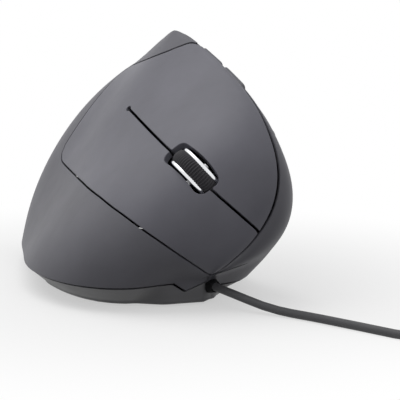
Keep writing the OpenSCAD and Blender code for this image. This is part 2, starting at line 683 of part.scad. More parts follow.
module half_key(side) {
    reach = body_length;
    difference() {
        intersection() {
            keys();
            on_face() translate([-reach, side > 0 ? slit_w / 2 : -slit_w / 2 - reach, -reach])
                cube([2 * reach, reach, 2 * reach]);
        }
        on_face() wheel_slot();
        on_face() slit_head();
    }
    on_face() key_post(side > 0 ? left_place : right_place);
}
module left_button() color(panel_grey) half_key(1);
module right_button() color(panel_grey) half_key(-1);

// Key frame and button board
module face_plate(z, t) on_face() translate([0, 0, z - t]) linear_extrude(t) children();
module frame_holes() for (p = frame_bosses) translate([p.x, p.y]) circle(d = screw_d + 2 * screw_play);
module board_holes() for (p = board_screw_places) translate(p) circle(d = screw_d + 2 * screw_play);
module key_frame() color(base_grey) face_plate(frame_z, frame_t) difference() {
    union() {
        box2(frame_x, frame_y);
        for (p = frame_bosses) {
            translate([p.x, p.y]) circle(d = boss_d + 0.6);
            translate([p.x - boss_d / 2, p.y]) square([boss_d, frame_y[0] - p.y + 1]);
        }
    }
    square([window_l, window_w], center = true);
    frame_holes();
    board_holes();
}
module frame_screws() color(steel) on_face() for (p = frame_bosses)
    translate([p.x, p.y, frame_z - frame_t - head_h]) screw(screw_d, head_d, head_h, frame_t + screw_reach);
module button_board() color(board_green) face_plate(board_z, board_t) difference() {
    box2(board_x, board_y);
    square([window_l, window_w], center = true);
    board_holes();
}
module board_screws() color(steel) on_face() for (p = board_screw_places)
    translate([p.x, p.y, board_z + head_h]) rotate([180, 0, 0])
        screw(screw_d, head_d, head_h, board_t + frame_t);

// Switches
module key_switch(p) color(switch_black) on_face() difference() {
    translate([p.x, (p.y > 0 ? 1 : -1) * (switch_l / 2 + 0.4), board_z + switch_h / 2])
        cube([switch_w, switch_l, switch_h], center = true);
    translate([p.x, p.y, switch_top - 2]) cylinder(d = plunger_d + 2 * plunger_play, h = 3);
}
module key_plunger(p) color([0.75, 0.2, 0.15]) on_face()
    translate([p.x, p.y, switch_top - 1.2]) cylinder(d = plunger_d, h = 1.2 + plunger_rise);
module tact(p, z, h) color(switch_black) difference() {
    translate([p.x, p.y, z + h / 2]) cube([tact_w, tact_w, h], center = true);
    translate([p.x, p.y, z + h - 1.2]) cylinder(d = plunger_d + 2 * plunger_play, h = 2);
}
module tact_plunger(p, z, h) color([0.8, 0.8, 0.78])
    translate([p.x, p.y, z + h - 0.6]) cylinder(d = plunger_d, h = 0.6 + plunger_rise);
module left_switch() key_switch(left_place);
module left_plunger() key_plunger(left_place);
module right_switch() key_switch(right_place);
module right_plunger() key_plunger(right_place);
module middle_switch() on_face() tact([0, middle_y], board_z, middle_h);
module middle_plunger() on_face() tact_plunger([0, middle_y], board_z, middle_h);

// Wheel
module across(y) on_face() translate([0, y[0], wheel_z]) rotate([-90, 0, 0]) children();
module wheel_encoder() color([0.85, 0.85, 0.82]) difference() {
    on_face() translate([-5.5, encoder_y[0], board_z])
        cube([11, encoder_y[1] - encoder_y[0], wheel_z + axle_d / 2 + 1 - board_z]);
    across(encoder_y) translate([0, 0, 0.8]) cylinder(d = axle_d + 0.4, h = 20);
}
module axle_fork() color(base_grey) on_face() difference() {
    w = bush_r + fork_play + fork_t;
    translate([-w, bush_y[0] - 0.2, board_z])
        cube([2 * w, bush_y[1] - bush_y[0] + 2, wheel_z + 0.5 - board_z]);
    translate([-w + fork_t, bush_y[0] - 1, board_z - 1])
        cube([2 * (w - fork_t), bush_y[1] - bush_y[0] + 1.6, 30]);
}
module axle_bush() color([0.9, 0.9, 0.86]) across(bush_y) difference() {
    cylinder(r = bush_r, h = bush_y[1] - bush_y[0]);
    translate([0, 0, -1]) cylinder(r = axle_d / 2 + axle_play, h = 20);
}
module wheel_axle() color(steel) across([encoder_y[0] + 1, bush_y[1]])
    cylinder(d = axle_d, h = bush_y[1] - encoder_y[0] - 1);
tyre_t = 2.6;
wheel_facets = 48;
module wheel_hub() color(switch_black) across([-tyre_w / 2, tyre_w / 2]) difference() {
    cylinder(r = wheel_r - tyre_t, h = tyre_w, $fn = wheel_facets);
    translate([0, 0, -1]) cylinder(d = axle_d, h = tyre_w + 2);
}
// Four points per rib: groove, flank, crest, flank
module rib_outline() polygon([
    for (i = [0:rib_count - 1], k = [0:3])
        let (
            a = 360 * (i + [0.1, 0.3, 0.7, 0.9][k]) / rib_count,
            r = wheel_r - (k == 0 || k == 3 ? rib_depth : 0)
        )
        r * [cos(a), sin(a)]
]);
module wheel_tyre() color([0.08, 0.08, 0.08]) across([-tyre_w / 2, tyre_w / 2])
    linear_extrude(tyre_w) difference() {
        rib_outline();
        circle(r = wheel_r - tyre_t, $fn = wheel_facets);
    }
module wheel_rims() color([0.85, 0.86, 0.88]) for (y = [-tyre_w / 2 - rim_w, tyre_w / 2])
    across([y, y + rim_w]) difference() {
        cylinder(r = rim_r, h = rim_w, $fn = wheel_facets);
        translate([0, 0, -1]) cylinder(r = rim_r - rim_t, h = rim_w + 2, $fn = wheel_facets);
    }

// Thumb-side buttons, switches and board
module side_button(span, rows, rise, p) color(shell_grey) {
    shell(button_grid(span, rows), always, rise, thumb_depth);
    on_thumb() translate([p.x, p.y, -thumb_depth - side_post])
        cylinder(d = 2, h = p.z + side_post + 0.6);
}
module forward_button() side_button(forward_span, thumb_rows, thumb_rise, forward_place);
module back_button() side_button(back_span, thumb_rows, thumb_rise, back_place);
module dpi_button() side_button(dpi_span, dpi_rows, dpi_rise, dpi_place);
module side_board() color(board_green) on_thumb() translate([0, 0, -side_drop - side_board_t])
    linear_extrude(side_board_t) difference() {
        union() {
            box2([side_board_x[0], side_board_step_x], side_board_y);
            box2([side_board_step_x - 0.1, side_board_x[1]], side_board_front_y);
        }
        for (p = side_bosses) translate([p.x, p.y]) circle(d = side_screw_d + 2 * screw_play);
    }
module side_board_screws() color(steel) on_thumb() for (p = side_bosses)
    translate([p.x, p.y, -side_drop - side_board_t - 0.9]) screw(side_screw_d, 3, 0.9, side_board_t + 3);
module forward_switch() on_thumb() tact(forward_place, -side_drop, tact_h);
module forward_plunger() on_thumb() tact_plunger(forward_place, -side_drop, tact_h);
module back_switch() on_thumb() tact(back_place, -side_drop, tact_h);
module back_plunger() on_thumb() tact_plunger(back_place, -side_drop, tact_h);
module dpi_switch() on_thumb() tact(dpi_place, -side_drop, tact_h);
module dpi_plunger() on_thumb() tact_plunger(dpi_place, -side_drop, tact_h);

// Base, main board and sensor
module base_loft() {
    rings = [
        loop_ring(base_inset + 1, tray_z, 0), loop_ring(base_inset, tray_z + 0.8, 0),
        loop_ring(0.7, seam_height - rim_gap, 1), loop_ring(0.7 + wall, seam_height - rim_gap, 1),
        loop_ring(base_inset + wall, deck_z, 0)
    ];
    m = len(rim_loop);
    last = (len(rings) - 1) * m;
    faces = concat(
        [
            for (k = [0:len(rings) - 2], i = [0:m - 1])
                let (a = k * m + i, b = k * m + (i + 1) % m)
                each [[a, b, a + m], [b, b + m, a + m]]
        ],
        [for (i = [0:m / 2 - 2]) let (j = m - 1 - i) each [[i, j, i + 1], [i + 1, j, j - 1]]],
        [
            for (i = [0:m / 2 - 2])
                let (a = last + i, b = last + m - 1 - i)
                each [[a, a + 1, b], [a + 1, b - 1, b]]
        ]
    );
    polyhedron([for (r = rings) each r], faces);
}
module base_tray() color(base_grey) difference() {
    union() {
        base_loft();
        for (p = concat(palm_bosses, thumb_bosses))
            translate([p.x, p.y, deck_z - 0.5])
                cylinder(d = boss_d, h = boss_split - boss_gap - deck_z + 0.5);
        for (p = main_posts) translate([p.x, p.y, deck_z - 0.5]) cylinder(d = boss_d, h = post_h + 0.5);
    }
    for (p = concat(palm_bosses, thumb_bosses)) translate([p.x, p.y, -1]) {
        cylinder(d = screw_d + 2 * screw_play, h = 20);
        cylinder(d = head_d + 0.4, h = 1 + tray_z + head_h + 0.2);
    }
    for (p = main_posts) translate([p.x, p.y, deck_z]) cylinder(d = screw_d + 2 * screw_play, h = 20);
    translate([sensor_place.x, sensor_place.y, -1]) cylinder(d = lens_d + 0.4, h = 20);
    relief_hole();
}
module glide_feet() color([0.12, 0.12, 0.12]) for (f = feet_places)
    translate([f[0], f[1], 0]) rotate([0, 0, f[2]]) linear_extrude(foot_t) rounded(f[3], foot_w, 2.4);
module shell_screws() color(steel) for (p = concat(palm_bosses, thumb_bosses))
    translate([p.x, p.y, tray_z + 0.2])
        screw(screw_d, head_d, head_h, boss_split + screw_reach - tray_z - head_h - 0.4);
module main_board() color(board_green) translate([0, 0, main_board_z]) linear_extrude(board_t) difference() {
    box2(main_board_x, main_board_y);
    for (p = main_posts) translate(p) circle(d = screw_d + 2 * screw_play);
    translate(sensor_place) square([8.4, 6.4], center = true);
}
module main_board_screws() color(steel) for (p = main_posts)
    translate([p.x, p.y, main_board_z + board_t + head_h]) rotate([180, 0, 0])
        screw(screw_d, head_d, head_h, board_t + 2.6);
module optical_sensor() color(switch_black)
    translate([sensor_place.x - 6, sensor_place.y - 5, main_board_z + board_t]) cube([12, 10, 3]);
module sensor_lens() color([0.8, 0.85, 0.9]) translate([sensor_place.x, sensor_place.y, tray_z + 0.4])
    cylinder(d = lens_d, h = main_board_z - 0.1 - tray_z - 0.4);
module sensor_lamp() color([0.9, 0.5, 0.45])
    translate([sensor_place.x, sensor_place.y + 11, main_board_z + board_t]) {
        cylinder(d = 3, h = 3);
        translate([0, 0, 3]) sphere(d = 3, $fn = 12);
    }

// Cable and plug
module cable_connector() color([0.92, 0.91, 0.86])
    translate([relief_p.x - 4, main_board_y[0], main_board_z + board_t]) cube([8, 5, 4.5]);
relief_flange = 1.6;
module strain_relief() color(switch_black) translate(relief_p) rotate([90, 0, 0]) {
    cylinder(d = relief_d + 1.6, h = relief_flange);
    cylinder(d = relief_d, h = relief_l - 3);
    translate([0, 0, relief_l - 3]) cylinder(d1 = relief_d, d2 = cable_d + 0.8, h = 3);
}
// Four wires from the rear of the strain relief to the connector
lead_d = 0.8;
lead_pitch = 1.4;
module inner_leads() color([0.7, 0.15, 0.12]) for (k = [-1.5:1.5])
    let (end = [relief_p.x + k * lead_pitch, main_board_y[0] - 0.02, main_board_z + board_t + 2.2],
        start = relief_p + [k * 0.9, 0.02, 0])
    tube([start, start + [0, 0.6, 0], mix(start, end, 0.5), end - [0, 0.6, 0], end], lead_d, 6);
module cable() color([0.16, 0.16, 0.17]) tube(route, cable_d, 8);
module cable_coil() color([0.16, 0.16, 0.17]) tube(coil_path, cable_d, 6);
module coil_tie() color([0.06, 0.06, 0.06]) {
    l = coil_out_r - coil_in_r + cable_d + 2 * tie_play;
    h = coil_top - route_end.z + cable_d + 2 * tie_play;
    translate([coil_centre.x, coil_centre.y, route_end.z - cable_d / 2 - tie_play + h / 2])
        rotate([0, 0, atan2(-tail_tau.y, -tail_tau.x)])
        translate([(coil_in_r + coil_out_r) / 2, tie_w / 2, 0])
        rotate([90, 0, 0]) linear_extrude(tie_w) difference() {
            rounded(l + 2 * tie_t, h + 2 * tie_t, 2);
            rounded(l, h, 1.2);
        }
}
// Plug frame: X runs out of the moulding along the metal shell
module on_plug() to_frame(plug_p, -tail_rho, cross([0, 0, 1], -tail_rho), [0, 0, 1]) children();
plug_shell_l = 12;
plug_shell_w = 12;
plug_shell_h = 4.5;
plug_shell_t = 0.4;
module plug_moulding() color(switch_black) on_plug()
    rotate([0, 90, 0]) linear_extrude(plug_l) rounded(plug_h, plug_w + 2, 2);
module plug_shell() color(steel) on_plug()
    translate([plug_l, 0, 0]) rotate([0, 90, 0]) linear_extrude(plug_shell_l) difference() {
        square([plug_shell_h, plug_shell_w], center = true);
        square([plug_shell_h - 2 * plug_shell_t, plug_shell_w - 2 * plug_shell_t], center = true);
    }
module plug_tongue() color([0.93, 0.93, 0.9]) on_plug()
    translate([plug_l, -plug_shell_w / 2 + plug_shell_t + 0.1, plug_shell_t - plug_shell_h / 2 + 0.1])
        cube([plug_shell_l - 0.6, plug_shell_w - 2 * plug_shell_t - 0.2, 1.8]);

base_tray();
glide_feet();
palm_shell();
thumb_shell();
button_plate();
left_button();
right_button();
key_frame();
frame_screws();
button_board();
board_screws();
left_switch();
left_plunger();
right_switch();
right_plunger();
middle_switch();
middle_plunger();
wheel_encoder();
axle_fork();
axle_bush();
wheel_hub();
wheel_tyre();
wheel_rims();
wheel_axle();
forward_button();
back_button();
dpi_button();
side_board();
side_board_screws();
forward_switch();
forward_plunger();
back_switch();
back_plunger();
dpi_switch();
dpi_plunger();
main_board();
main_board_screws();
optical_sensor();
sensor_lens();
sensor_lamp();
cable_connector();
inner_leads();
shell_screws();
strain_relief();
cable();
cable_coil();
coil_tie();
plug_moulding();
plug_shell();
plug_tongue();
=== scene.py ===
"""Vertical ergonomic mouse: the dressed model, the camera and the studio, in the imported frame."""
import math
import bpy
import numpy as np
from mathutils import Matrix, Vector
from mathutils.geometry import delaunay_2d_cdt


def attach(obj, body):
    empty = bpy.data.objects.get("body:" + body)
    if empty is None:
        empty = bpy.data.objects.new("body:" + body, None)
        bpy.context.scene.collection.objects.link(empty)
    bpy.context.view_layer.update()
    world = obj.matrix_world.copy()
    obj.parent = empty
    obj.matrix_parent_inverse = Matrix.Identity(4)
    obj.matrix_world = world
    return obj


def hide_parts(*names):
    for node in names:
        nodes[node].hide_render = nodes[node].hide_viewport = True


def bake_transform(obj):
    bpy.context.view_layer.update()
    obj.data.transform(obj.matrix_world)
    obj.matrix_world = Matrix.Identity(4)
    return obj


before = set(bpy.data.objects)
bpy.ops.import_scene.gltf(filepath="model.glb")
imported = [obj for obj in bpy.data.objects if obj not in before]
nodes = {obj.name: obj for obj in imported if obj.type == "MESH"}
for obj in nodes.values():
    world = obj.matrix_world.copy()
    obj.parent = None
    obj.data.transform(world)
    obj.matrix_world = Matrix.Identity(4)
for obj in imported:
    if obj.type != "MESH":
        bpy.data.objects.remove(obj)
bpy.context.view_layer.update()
scene = bpy.context.scene
scene.view_settings.view_transform = "Standard"

# Sizes are in millimetres, as in the part's source, and become metres where a mesh is made
MM = 0.001
FORM_SHIFT = np.array([5.04, -0.04, 0.0])
SEAM_HEIGHT = 7.0
WALL = 2.0
SEAM_GAP = 0.5
KEY_GAP = 1.1
SLIT_W = 0.75
TOOTH_DEPTH = 2.4
THUMB_DIP = 2.2
DIP_LEAN = 1.2
WHEEL_D = 17.5
WHEEL_RISE = 2.8
TYRE_W = 4.0
RIM_W = 1.1
SLOT_SIDE = 0.9
SLOT_END = 1.4
SLOT_BACK = 0.8
THUMB_RISE = 1.4
DPI_RISE = 0.7
THUMB_GAP = 0.35
THUMB_DEPTH = 1.4
CABLE_D = 2.4

# Camera: the photograph's angle, distance and framing
CAMERA_AZIMUTH = -25.0
CAMERA_ELEVATION = 8.0
CAMERA_DISTANCE = 450.0
CAMERA_AIM = np.array([5.04, -18.04, 32.0])
FOCAL_PX = 1507.5
IMAGE_PX = 400.0
AIM_PX = (160.0, 180.0)
SENSOR = 36.0


def make_camera():
    a = math.radians(CAMERA_AZIMUTH)
    e = math.radians(CAMERA_ELEVATION)
    back = np.array([math.sin(a) * math.cos(e), -math.cos(a) * math.cos(e), math.sin(e)])
    data = bpy.data.cameras.new("camera")
    data.sensor_width = SENSOR
    data.sensor_fit = "HORIZONTAL"
    data.lens = FOCAL_PX / IMAGE_PX * SENSOR
    data.shift_x = (IMAGE_PX / 2 - AIM_PX[0]) / IMAGE_PX
    data.shift_y = (AIM_PX[1] - IMAGE_PX / 2) / IMAGE_PX
    data.clip_start = 0.01
    data.clip_end = 20
    camera = bpy.data.objects.new("camera", data)
    scene.collection.objects.link(camera)
    camera.location = (CAMERA_AIM + CAMERA_DISTANCE * back) * MM
    camera.rotation_euler = Vector(back).to_track_quat("Z", "Y").to_euler()
    scene.camera = camera


make_camera()


# Shader helpers
def new_material(name):
    mat = bpy.data.materials.new(name)
    mat.use_nodes = True
    tree = mat.node_tree
    return mat, tree, tree.nodes["Principled BSDF"]


def noise(tree, scale, detail=3.0, rough=0.55):
    coord = tree.nodes.new("ShaderNodeTexCoord")
    tex = tree.nodes.new("ShaderNodeTexNoise")
    tex.inputs["Scale"].default_value = scale
    tex.inputs["Detail"].default_value = detail
    tex.inputs["Roughness"].default_value = rough
    tree.links.new(coord.outputs["Object"], tex.inputs["Vector"])
    return tex.outputs["Fac"]


def ramp(tree, fac, low, high, start=0.3, end=0.7):
    node = tree.nodes.new("ShaderNodeValToRGB")
    node.color_ramp.elements[0].position = start
    node.color_ramp.elements[1].position = end
    node.color_ramp.elements[0].color = (*low, 1)
    node.color_ramp.elements[1].color = (*high, 1)
    tree.links.new(fac, node.inputs["Fac"])
    return node.outputs["Color"]


def spread_value(tree, fac, low, high):
    node = tree.nodes.new("ShaderNodeMapRange")
    node.inputs["To Min"].default_value = low
    node.inputs["To Max"].default_value = high
    tree.links.new(fac, node.inputs["Value"])
    return node.outputs["Result"]


def bump(tree, shader, height, strength, distance):
    node = tree.nodes.new("ShaderNodeBump")
    node.inputs["Strength"].default_value = strength
    node.inputs["Distance"].default_value = distance
    tree.links.new(height, node.inputs["Height"])
    tree.links.new(node.outputs["Normal"], shader.inputs["Normal"])


def plastic(name, colour, rough=0.5, vary=0.08, grain=2600.0, grain_strength=0.12, specular=0.5):
    """Moulded plastic: spark-eroded grain, faint cloudy colour and uneven sheen from handling."""
    mat, tree, shader = new_material(name)
    c = np.array(colour)
    cloud = noise(tree, 55.0, 4.0)
    tree.links.new(ramp(tree, cloud, c * (1 - vary), c * (1 + vary)), shader.inputs["Base Color"])
    sheen_map = noise(tree, 140.0, 5.0, 0.6)
    tree.links.new(spread_value(tree, sheen_map, rough - 0.06, rough + 0.06), shader.inputs["Roughness"])
    shader.inputs["Specular IOR Level"].default_value = specular
    bump(tree, shader, noise(tree, grain, 2.0), grain_strength, 0.00006)
    return mat


def metal(name, colour, rough=0.12, vary=0.05):
    mat, tree, shader = new_material(name)
    c = np.array(colour)
    cloud = noise(tree, 300.0, 4.0)
    bright = np.minimum(c * (1 + vary), 1)
    tree.links.new(ramp(tree, cloud, c * (1 - vary), bright), shader.inputs["Base Color"])
    haze = spread_value(tree, noise(tree, 900.0), rough * 0.6, rough * 1.4)
    tree.links.new(haze, shader.inputs["Roughness"])
    shader.inputs["Metallic"].default_value = 1.0
    bump(tree, shader, noise(tree, 1800.0), 0.05, 0.00003)
    return mat


def clear(name, colour):
    mat, tree, shader = new_material(name)
    c = np.array(colour)
    tree.links.new(ramp(tree, noise(tree, 200.0), c * 0.94, c), shader.inputs["Base Color"])
    tree.links.new(spread_value(tree, noise(tree, 500.0), 0.04, 0.12), shader.inputs["Roughness"])
    shader.inputs["Transmission Weight"].default_value = 0.85
    shader.inputs["IOR"].default_value = 1.49
    return mat


SHELL = plastic("shell_plastic", (0.126, 0.125, 0.143), rough=0.5, specular=0.3)
PANEL = plastic("panel_plastic", (0.146, 0.145, 0.170), rough=0.47, specular=0.3)
BASE = plastic("base_plastic", (0.115, 0.115, 0.122), rough=0.42, specular=0.5)
# Dark plastic of the small inner parts. The same material is also painted on the shells' inner faces and
# edge walls as painted shade.
DARK_AND_SHADE = plastic("dark_plastic_and_painted_shade", (0.012, 0.012, 0.013), rough=0.7, specular=0.1)
RUBBER = plastic("tyre_rubber", (0.05, 0.048, 0.054), rough=0.6, grain=1500.0, grain_strength=0.2,
                 specular=0.25)
GLIDE = plastic("glide_plastic", (0.03, 0.03, 0.031), rough=0.3)
JACKET = plastic("cable_jacket", (0.075, 0.075, 0.08), rough=0.55, grain=1200.0)
BOARD = plastic("circuit_board", (0.012, 0.07, 0.032), rough=0.35, vary=0.3, grain=900.0)
PALE = plastic("pale_plastic", (0.62, 0.61, 0.56), rough=0.45)
PLUNGER = plastic("plunger_plastic", (0.45, 0.05, 0.04), rough=0.35)
WIRE = plastic("wire_jacket", (0.3, 0.04, 0.035), rough=0.45)
CHROME = metal("chrome", (0.82, 0.83, 0.85), rough=0.07)
STEEL = metal("steel", (0.55, 0.55, 0.57), rough=0.3)
BLACK_STEEL = metal("black_steel", (0.02, 0.02, 0.022), rough=0.45)
CLEAR = clear("clear_lens", (0.85, 0.88, 0.9))


def paint(obj, mat):
    obj.data.materials.clear()
    obj.data.materials.append(mat)


NODE_MATERIALS = {
    DARK_AND_SHADE: ["key_frame", "axle_fork", "wheel_hub", "wheel_encoder", "left_switch", "right_switch",
           "middle_switch", "forward_switch", "back_switch", "dpi_switch", "optical_sensor", "coil_tie",
           "plug_moulding", "strain_relief", "axle_bush", "button_board"],
    BOARD: ["side_board", "main_board"],
    PALE: ["cable_connector", "plug_tongue"],
    PLUNGER: ["left_plunger", "right_plunger", "middle_plunger", "forward_plunger", "back_plunger",
              "dpi_plunger"],
    STEEL: ["main_board_screws", "shell_screws", "wheel_axle", "plug_shell"],
    BLACK_STEEL: ["frame_screws", "board_screws", "side_board_screws"],
    CLEAR: ["sensor_lens", "sensor_lamp"],
    GLIDE: ["glide_feet"],
    WIRE: ["inner_leads"],
}
for material, names in NODE_MATERIALS.items():
    for node_name in names:
        paint(nodes[node_name], material)


# Mesh helpers
def add_mesh(name, verts, faces, mat, normals=None, body="housing", slot=None, painted_shade_faces=()):
    """Mesh from faces in mat, followed by the faces inside, painted in the dark material as painted shade.
    """
    mesh = bpy.data.meshes.new(name)
    every = list(faces) + list(painted_shade_faces)
    mesh.from_pydata((np.asarray(verts) * MM).tolist(), [], [list(map(int, f)) for f in every])
    mesh.polygons.foreach_set("material_index", [0] * len(faces) + [1] * len(painted_shade_faces))
    mesh.validate()
    mesh.polygons.foreach_set("use_smooth", [True] * len(mesh.polygons))
    if normals is not None and len(mesh.vertices) == len(normals):
        mesh.normals_split_custom_set_from_vertices(normals.tolist())
    obj = bpy.data.objects.new(name, mesh)
    scene.collection.objects.link(obj)
    paint(obj, mat)
    # The inner faces get the dark material as painted shade, because the real walls there are shell plastic
    # in shadow.
    if painted_shade_faces:
        obj.data.materials.append(DARK_AND_SHADE)
    if body:
        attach(obj, body)
    return obj


def unit(v):
    return v / np.maximum(np.linalg.norm(v, axis=-1, keepdims=True), 1e-12)


def ease(x):
    x = np.clip(x, 0, 1)
    return x * x * (3 - 2 * x)


# Body surface: the same curves as in the part's source, with a sharper crest
RIDGE = np.array([
    [-1, -49, 8], [7, -57, 14], [15, -61, 25], [18.5, -61, 41], [17.5, -51, 55.5], [17, -31, 66],
    [16, -11, 73.7], [14, 2.1, 77.7], [12, 20.5, 65.7], [9, 40, 59.6], [5, 55, 31], [0, 61, 8],
], float) + FORM_SHIFT
PALM_RIM = np.array([
    [3.4, -49.2], [-11, -47], [-22, -50], [-32, -45], [-39, -32], [-40, -14],
    [-37, 0], [-33, 11], [-29, 24], [-24, 38], [-15, 53], [-2, 61],
], float)
THUMB_RIM = np.array([
    [2, -47], [9, -47], [16, -45], [22, -39], [26, -30], [29, -17],
    [29.5, -4], [29, 8], [28, 22], [24, 38], [14, 53], [2, 61],
], float)
PALM_RISE = np.array([
    [0, -1, 1], [-1, -4, 5], [-2, -6, 12], [-1, -6, 18], [3, -3, 20], [6, -1, 18],
    [8, 0, 16], [8, 0, 16], [6, 1, 16], [2, 2, 15], [0, 3, 10], [0, 2, 1],
], float)
PALM_CROWN = np.array([
    [-1, -1, 0], [-5, -2, -1], [-11, -3, 0], [-16, -2, 2], [-18, -3, -3], [-17, -2, -10],
    [-14, 0, -13], [-12, 2, -15], [-13, 3, -13], [-13, 5, -8], [-9, 5, -3], [-2, 1, 0],
], float)
THUMB_CROWN = np.array([
    [1, 0, 0], [4, 0, -1], [7, 2, -3], [8, 4, -5], [6, 6, -9], [3, 3, -16],
    [2, 1, -18], [2, 0, -19], [2, 1, -17], [2, 3, -13], [2, 4, -7], [1, 1, 0],
], float)
THUMB_RISE_IN = np.array([
    [0, -1, 1], [3, -3, 4], [8, -4, 9], [10, -3, 13], [5, -2, 11], [-2, 0, 9],
    [-6, 0, 7], [-7, 0, 6], [-6, 0, 7], [-2, 1, 8], [1, 2, 6], [0, 1, 1],
], float)
CREST_S, CREST_RISE, CREST_SPAN, CREST_U = 0.628, 0.75, 0.03, 0.17
RIDGE_ROUND = np.array([0.5, 1.5, 2.5, 3, 3, 3, 2.5, 0.3, 2.5, 3, 2, 0.5])[:, None]
FILLET_U = 0.94


def on_seam(rim):
    return np.column_stack([rim + FORM_SHIFT[:2], np.full(len(rim), SEAM_HEIGHT)])


PALM_RIM = on_seam(PALM_RIM)
THUMB_RIM = on_seam(THUMB_RIM)


def curve(c, s):
    """Uniform cubic B-spline through its first and last control values."""
    last = len(c) - 1
    e = np.vstack([2 * c[0] - c[1], c, 2 * c[-1] - c[-2]])
    x = np.clip(s, 0, 1) * last
    i = np.minimum(np.floor(x).astype(int), last - 1)
    f = (x - i)[:, None]
    return ((1 - f) ** 3 * e[i] + (3 * f ** 3 - 6 * f * f + 4) * e[i + 1]
            + (-3 * f ** 3 + 3 * f * f + 3 * f + 1) * e[i + 2] + f ** 3 * e[i + 3]) / 6


def bezier(a, b, c, d, t):
    return (1 - t) ** 3 * a + 3 * t * (1 - t) ** 2 * b + 3 * t * t * (1 - t) * c + t ** 3 * d


def skin(s, u):
    """Outer surface: s runs from nose to tail, and u from the palm rim (0) over the ridge (1) to the
    thumb rim (2)."""
    s, u = np.broadcast_arrays(np.atleast_1d(np.asarray(s, float)), np.atleast_1d(np.asarray(u, float)))
    k = curve(RIDGE, s)
    r = curve(RIDGE_ROUND, s)
    palm, thumb = curve(PALM_CROWN, s), curve(THUMB_CROWN, s)
    kp, kt = k + r * unit(palm), k + r * unit(thumb)
    a, b = curve(PALM_RIM, s), curve(THUMB_RIM, s)
    w = u[:, None]
    on_palm = bezier(a, a + curve(PALM_RISE, s), kp + palm, kp, np.minimum(w / FILLET_U, 1))
    on_thumb = bezier(b, b + curve(THUMB_RISE_IN, s), kt + thumb, kt, np.minimum((2 - w) / FILLET_U, 1))
    t = np.clip((w - FILLET_U) / (2 - 2 * FILLET_U), 0, 1)
    on_ridge = (1 - t) ** 2 * kp + 2 * t * (1 - t) * k + t * t * kt
    p = np.where(w < FILLET_U, on_palm, np.where(w > 2 - FILLET_U, on_thumb, on_ridge))
    along = np.clip(1 - np.abs(s - CREST_S) / CREST_SPAN, 0, 1)
    crest = CREST_RISE * along * ease(1 - np.abs(u - 1) / CREST_U)
    return p + np.outer(crest, [0, 0, 1])


PROBE = 0.003
RIDGE_NEAR, RIDGE_FAR, RIDGE_WALL = 0.8, 4.2, 0.3


def slopes(s, u, form=skin):
    """Derivatives of a surface in s and u, and its outward normal."""
    s, u = np.broadcast_arrays(np.atleast_1d(np.asarray(s, float)), np.atleast_1d(np.asarray(u, float)))
    s0, s1 = np.maximum(s - PROBE, 0), np.minimum(s + PROBE, 1)
    u0, u1 = np.maximum(u - PROBE, 0), np.minimum(u + PROBE, 2)
    ds = (form(s1, u) - form(s0, u)) / (s1 - s0)[:, None]
    du = (form(s, u1) - form(s, u0)) / (u1 - u0)[:, None]
    return ds, du, unit(np.cross(du, ds))


def through(s, u):
    """Direction through the wall: level at the rims, shorter and along the bisector beside the ridge."""
    _, du, n = slopes(s, u)
    d = np.abs(u - 1) * np.linalg.norm(du, axis=1)
    side = np.clip((d - RIDGE_NEAR) / RIDGE_FAR, 0, 1)[:, None]
    ridge_n = slopes(s, np.ones_like(u))[2]
    share = RIDGE_WALL + (1 - RIDGE_WALL) * side
    out = np.where(side < 1, share * unit(ridge_n + (n - ridge_n) * side), n)
    rim = ((u < 1e-6) | (u > 2 - 1e-6))[:, None]
    return np.where(rim, unit(n * np.array([1, 1, 0])), out)


# Seams, as rows [s, u] of their middle lines
NOSE_S, KEY_NOSE_S, TAIL_S = 0.02, 0.0235, 0.99
PEAK_S, REAR_S, REAR_U = 0.535, 0.7635, 0.62
HINGE_S, HINGE_U = 0.58, 0.61
SEAM_END = REAR_S - 0.0005
TOOTH_S = (0.02, 0.06, 0.084)
LOW_SEAM = np.array([
    [0.02, 0.986], [0.025, 0.8], [0.03, 0.66], [0.04, 0.548], [0.05, 0.504], [0.06, 0.484], [0.08, 0.456],
    [0.12, 0.411], [0.17, 0.37], [0.24, 0.339], [0.34, 0.34], [0.42, 0.355], [0.5, 0.361], [0.58, 0.358],
    [0.62, 0.359], [0.66, 0.37], [0.7, 0.392], [0.7245, 0.41], [0.7375, 0.422], [0.747, 0.438],
    [0.756, 0.458], [0.7635, 0.498],
])
HIGH_SEAM = np.array([
    [0.535, 1], [0.5445, 0.973], [0.551, 0.952], [0.56, 0.93], [0.57, 0.901], [0.59, 0.855], [0.6, 0.839],
    [0.62, 0.819], [0.64, 0.813], [0.66, 0.821], [0.68, 0.841], [0.7, 0.869], [0.72, 0.9], [0.737, 0.925],
    [0.75, 0.928], [0.7635, 0.915],
])
RIDGE_SEAM = np.array([
    [0.02, 0.992], [0.032, 0.974], [0.06, 0.92], [0.084, 0.9], [0.123, 0.937], [0.162, 0.967],
    [0.202, 0.986], [0.244, 0.99], [0.286, 0.984], [0.327, 0.979], [0.37, 0.988], [0.42, 1], [1, 1],
])


def smooth_lookup(table, x):
    """Value of a smooth curve through the rows [place, value] of a table."""
    place, v = table.T
    m = np.gradient(v, place)
    i = np.clip(np.searchsorted(place, x) - 1, 0, len(place) - 2)
    h = place[i + 1] - place[i]
    t = np.clip((x - place[i]) / h, 0, 1)
    start = (2 * t ** 3 - 3 * t ** 2 + 1) * v[i] + (t ** 3 - 2 * t ** 2 + t) * h * m[i]
    return start + (3 * t ** 2 - 2 * t ** 3) * v[i + 1] + (t ** 3 - t ** 2) * h * m[i + 1]


def panel_low(s):
    return smooth_lookup(LOW_SEAM, s)


def panel_high(s):
    return smooth_lookup(HIGH_SEAM, s)


KEY_GAP_END, KEY_GAP_FADE, NOSE_GAP_FADE = 0.45, 0.15, 0.03


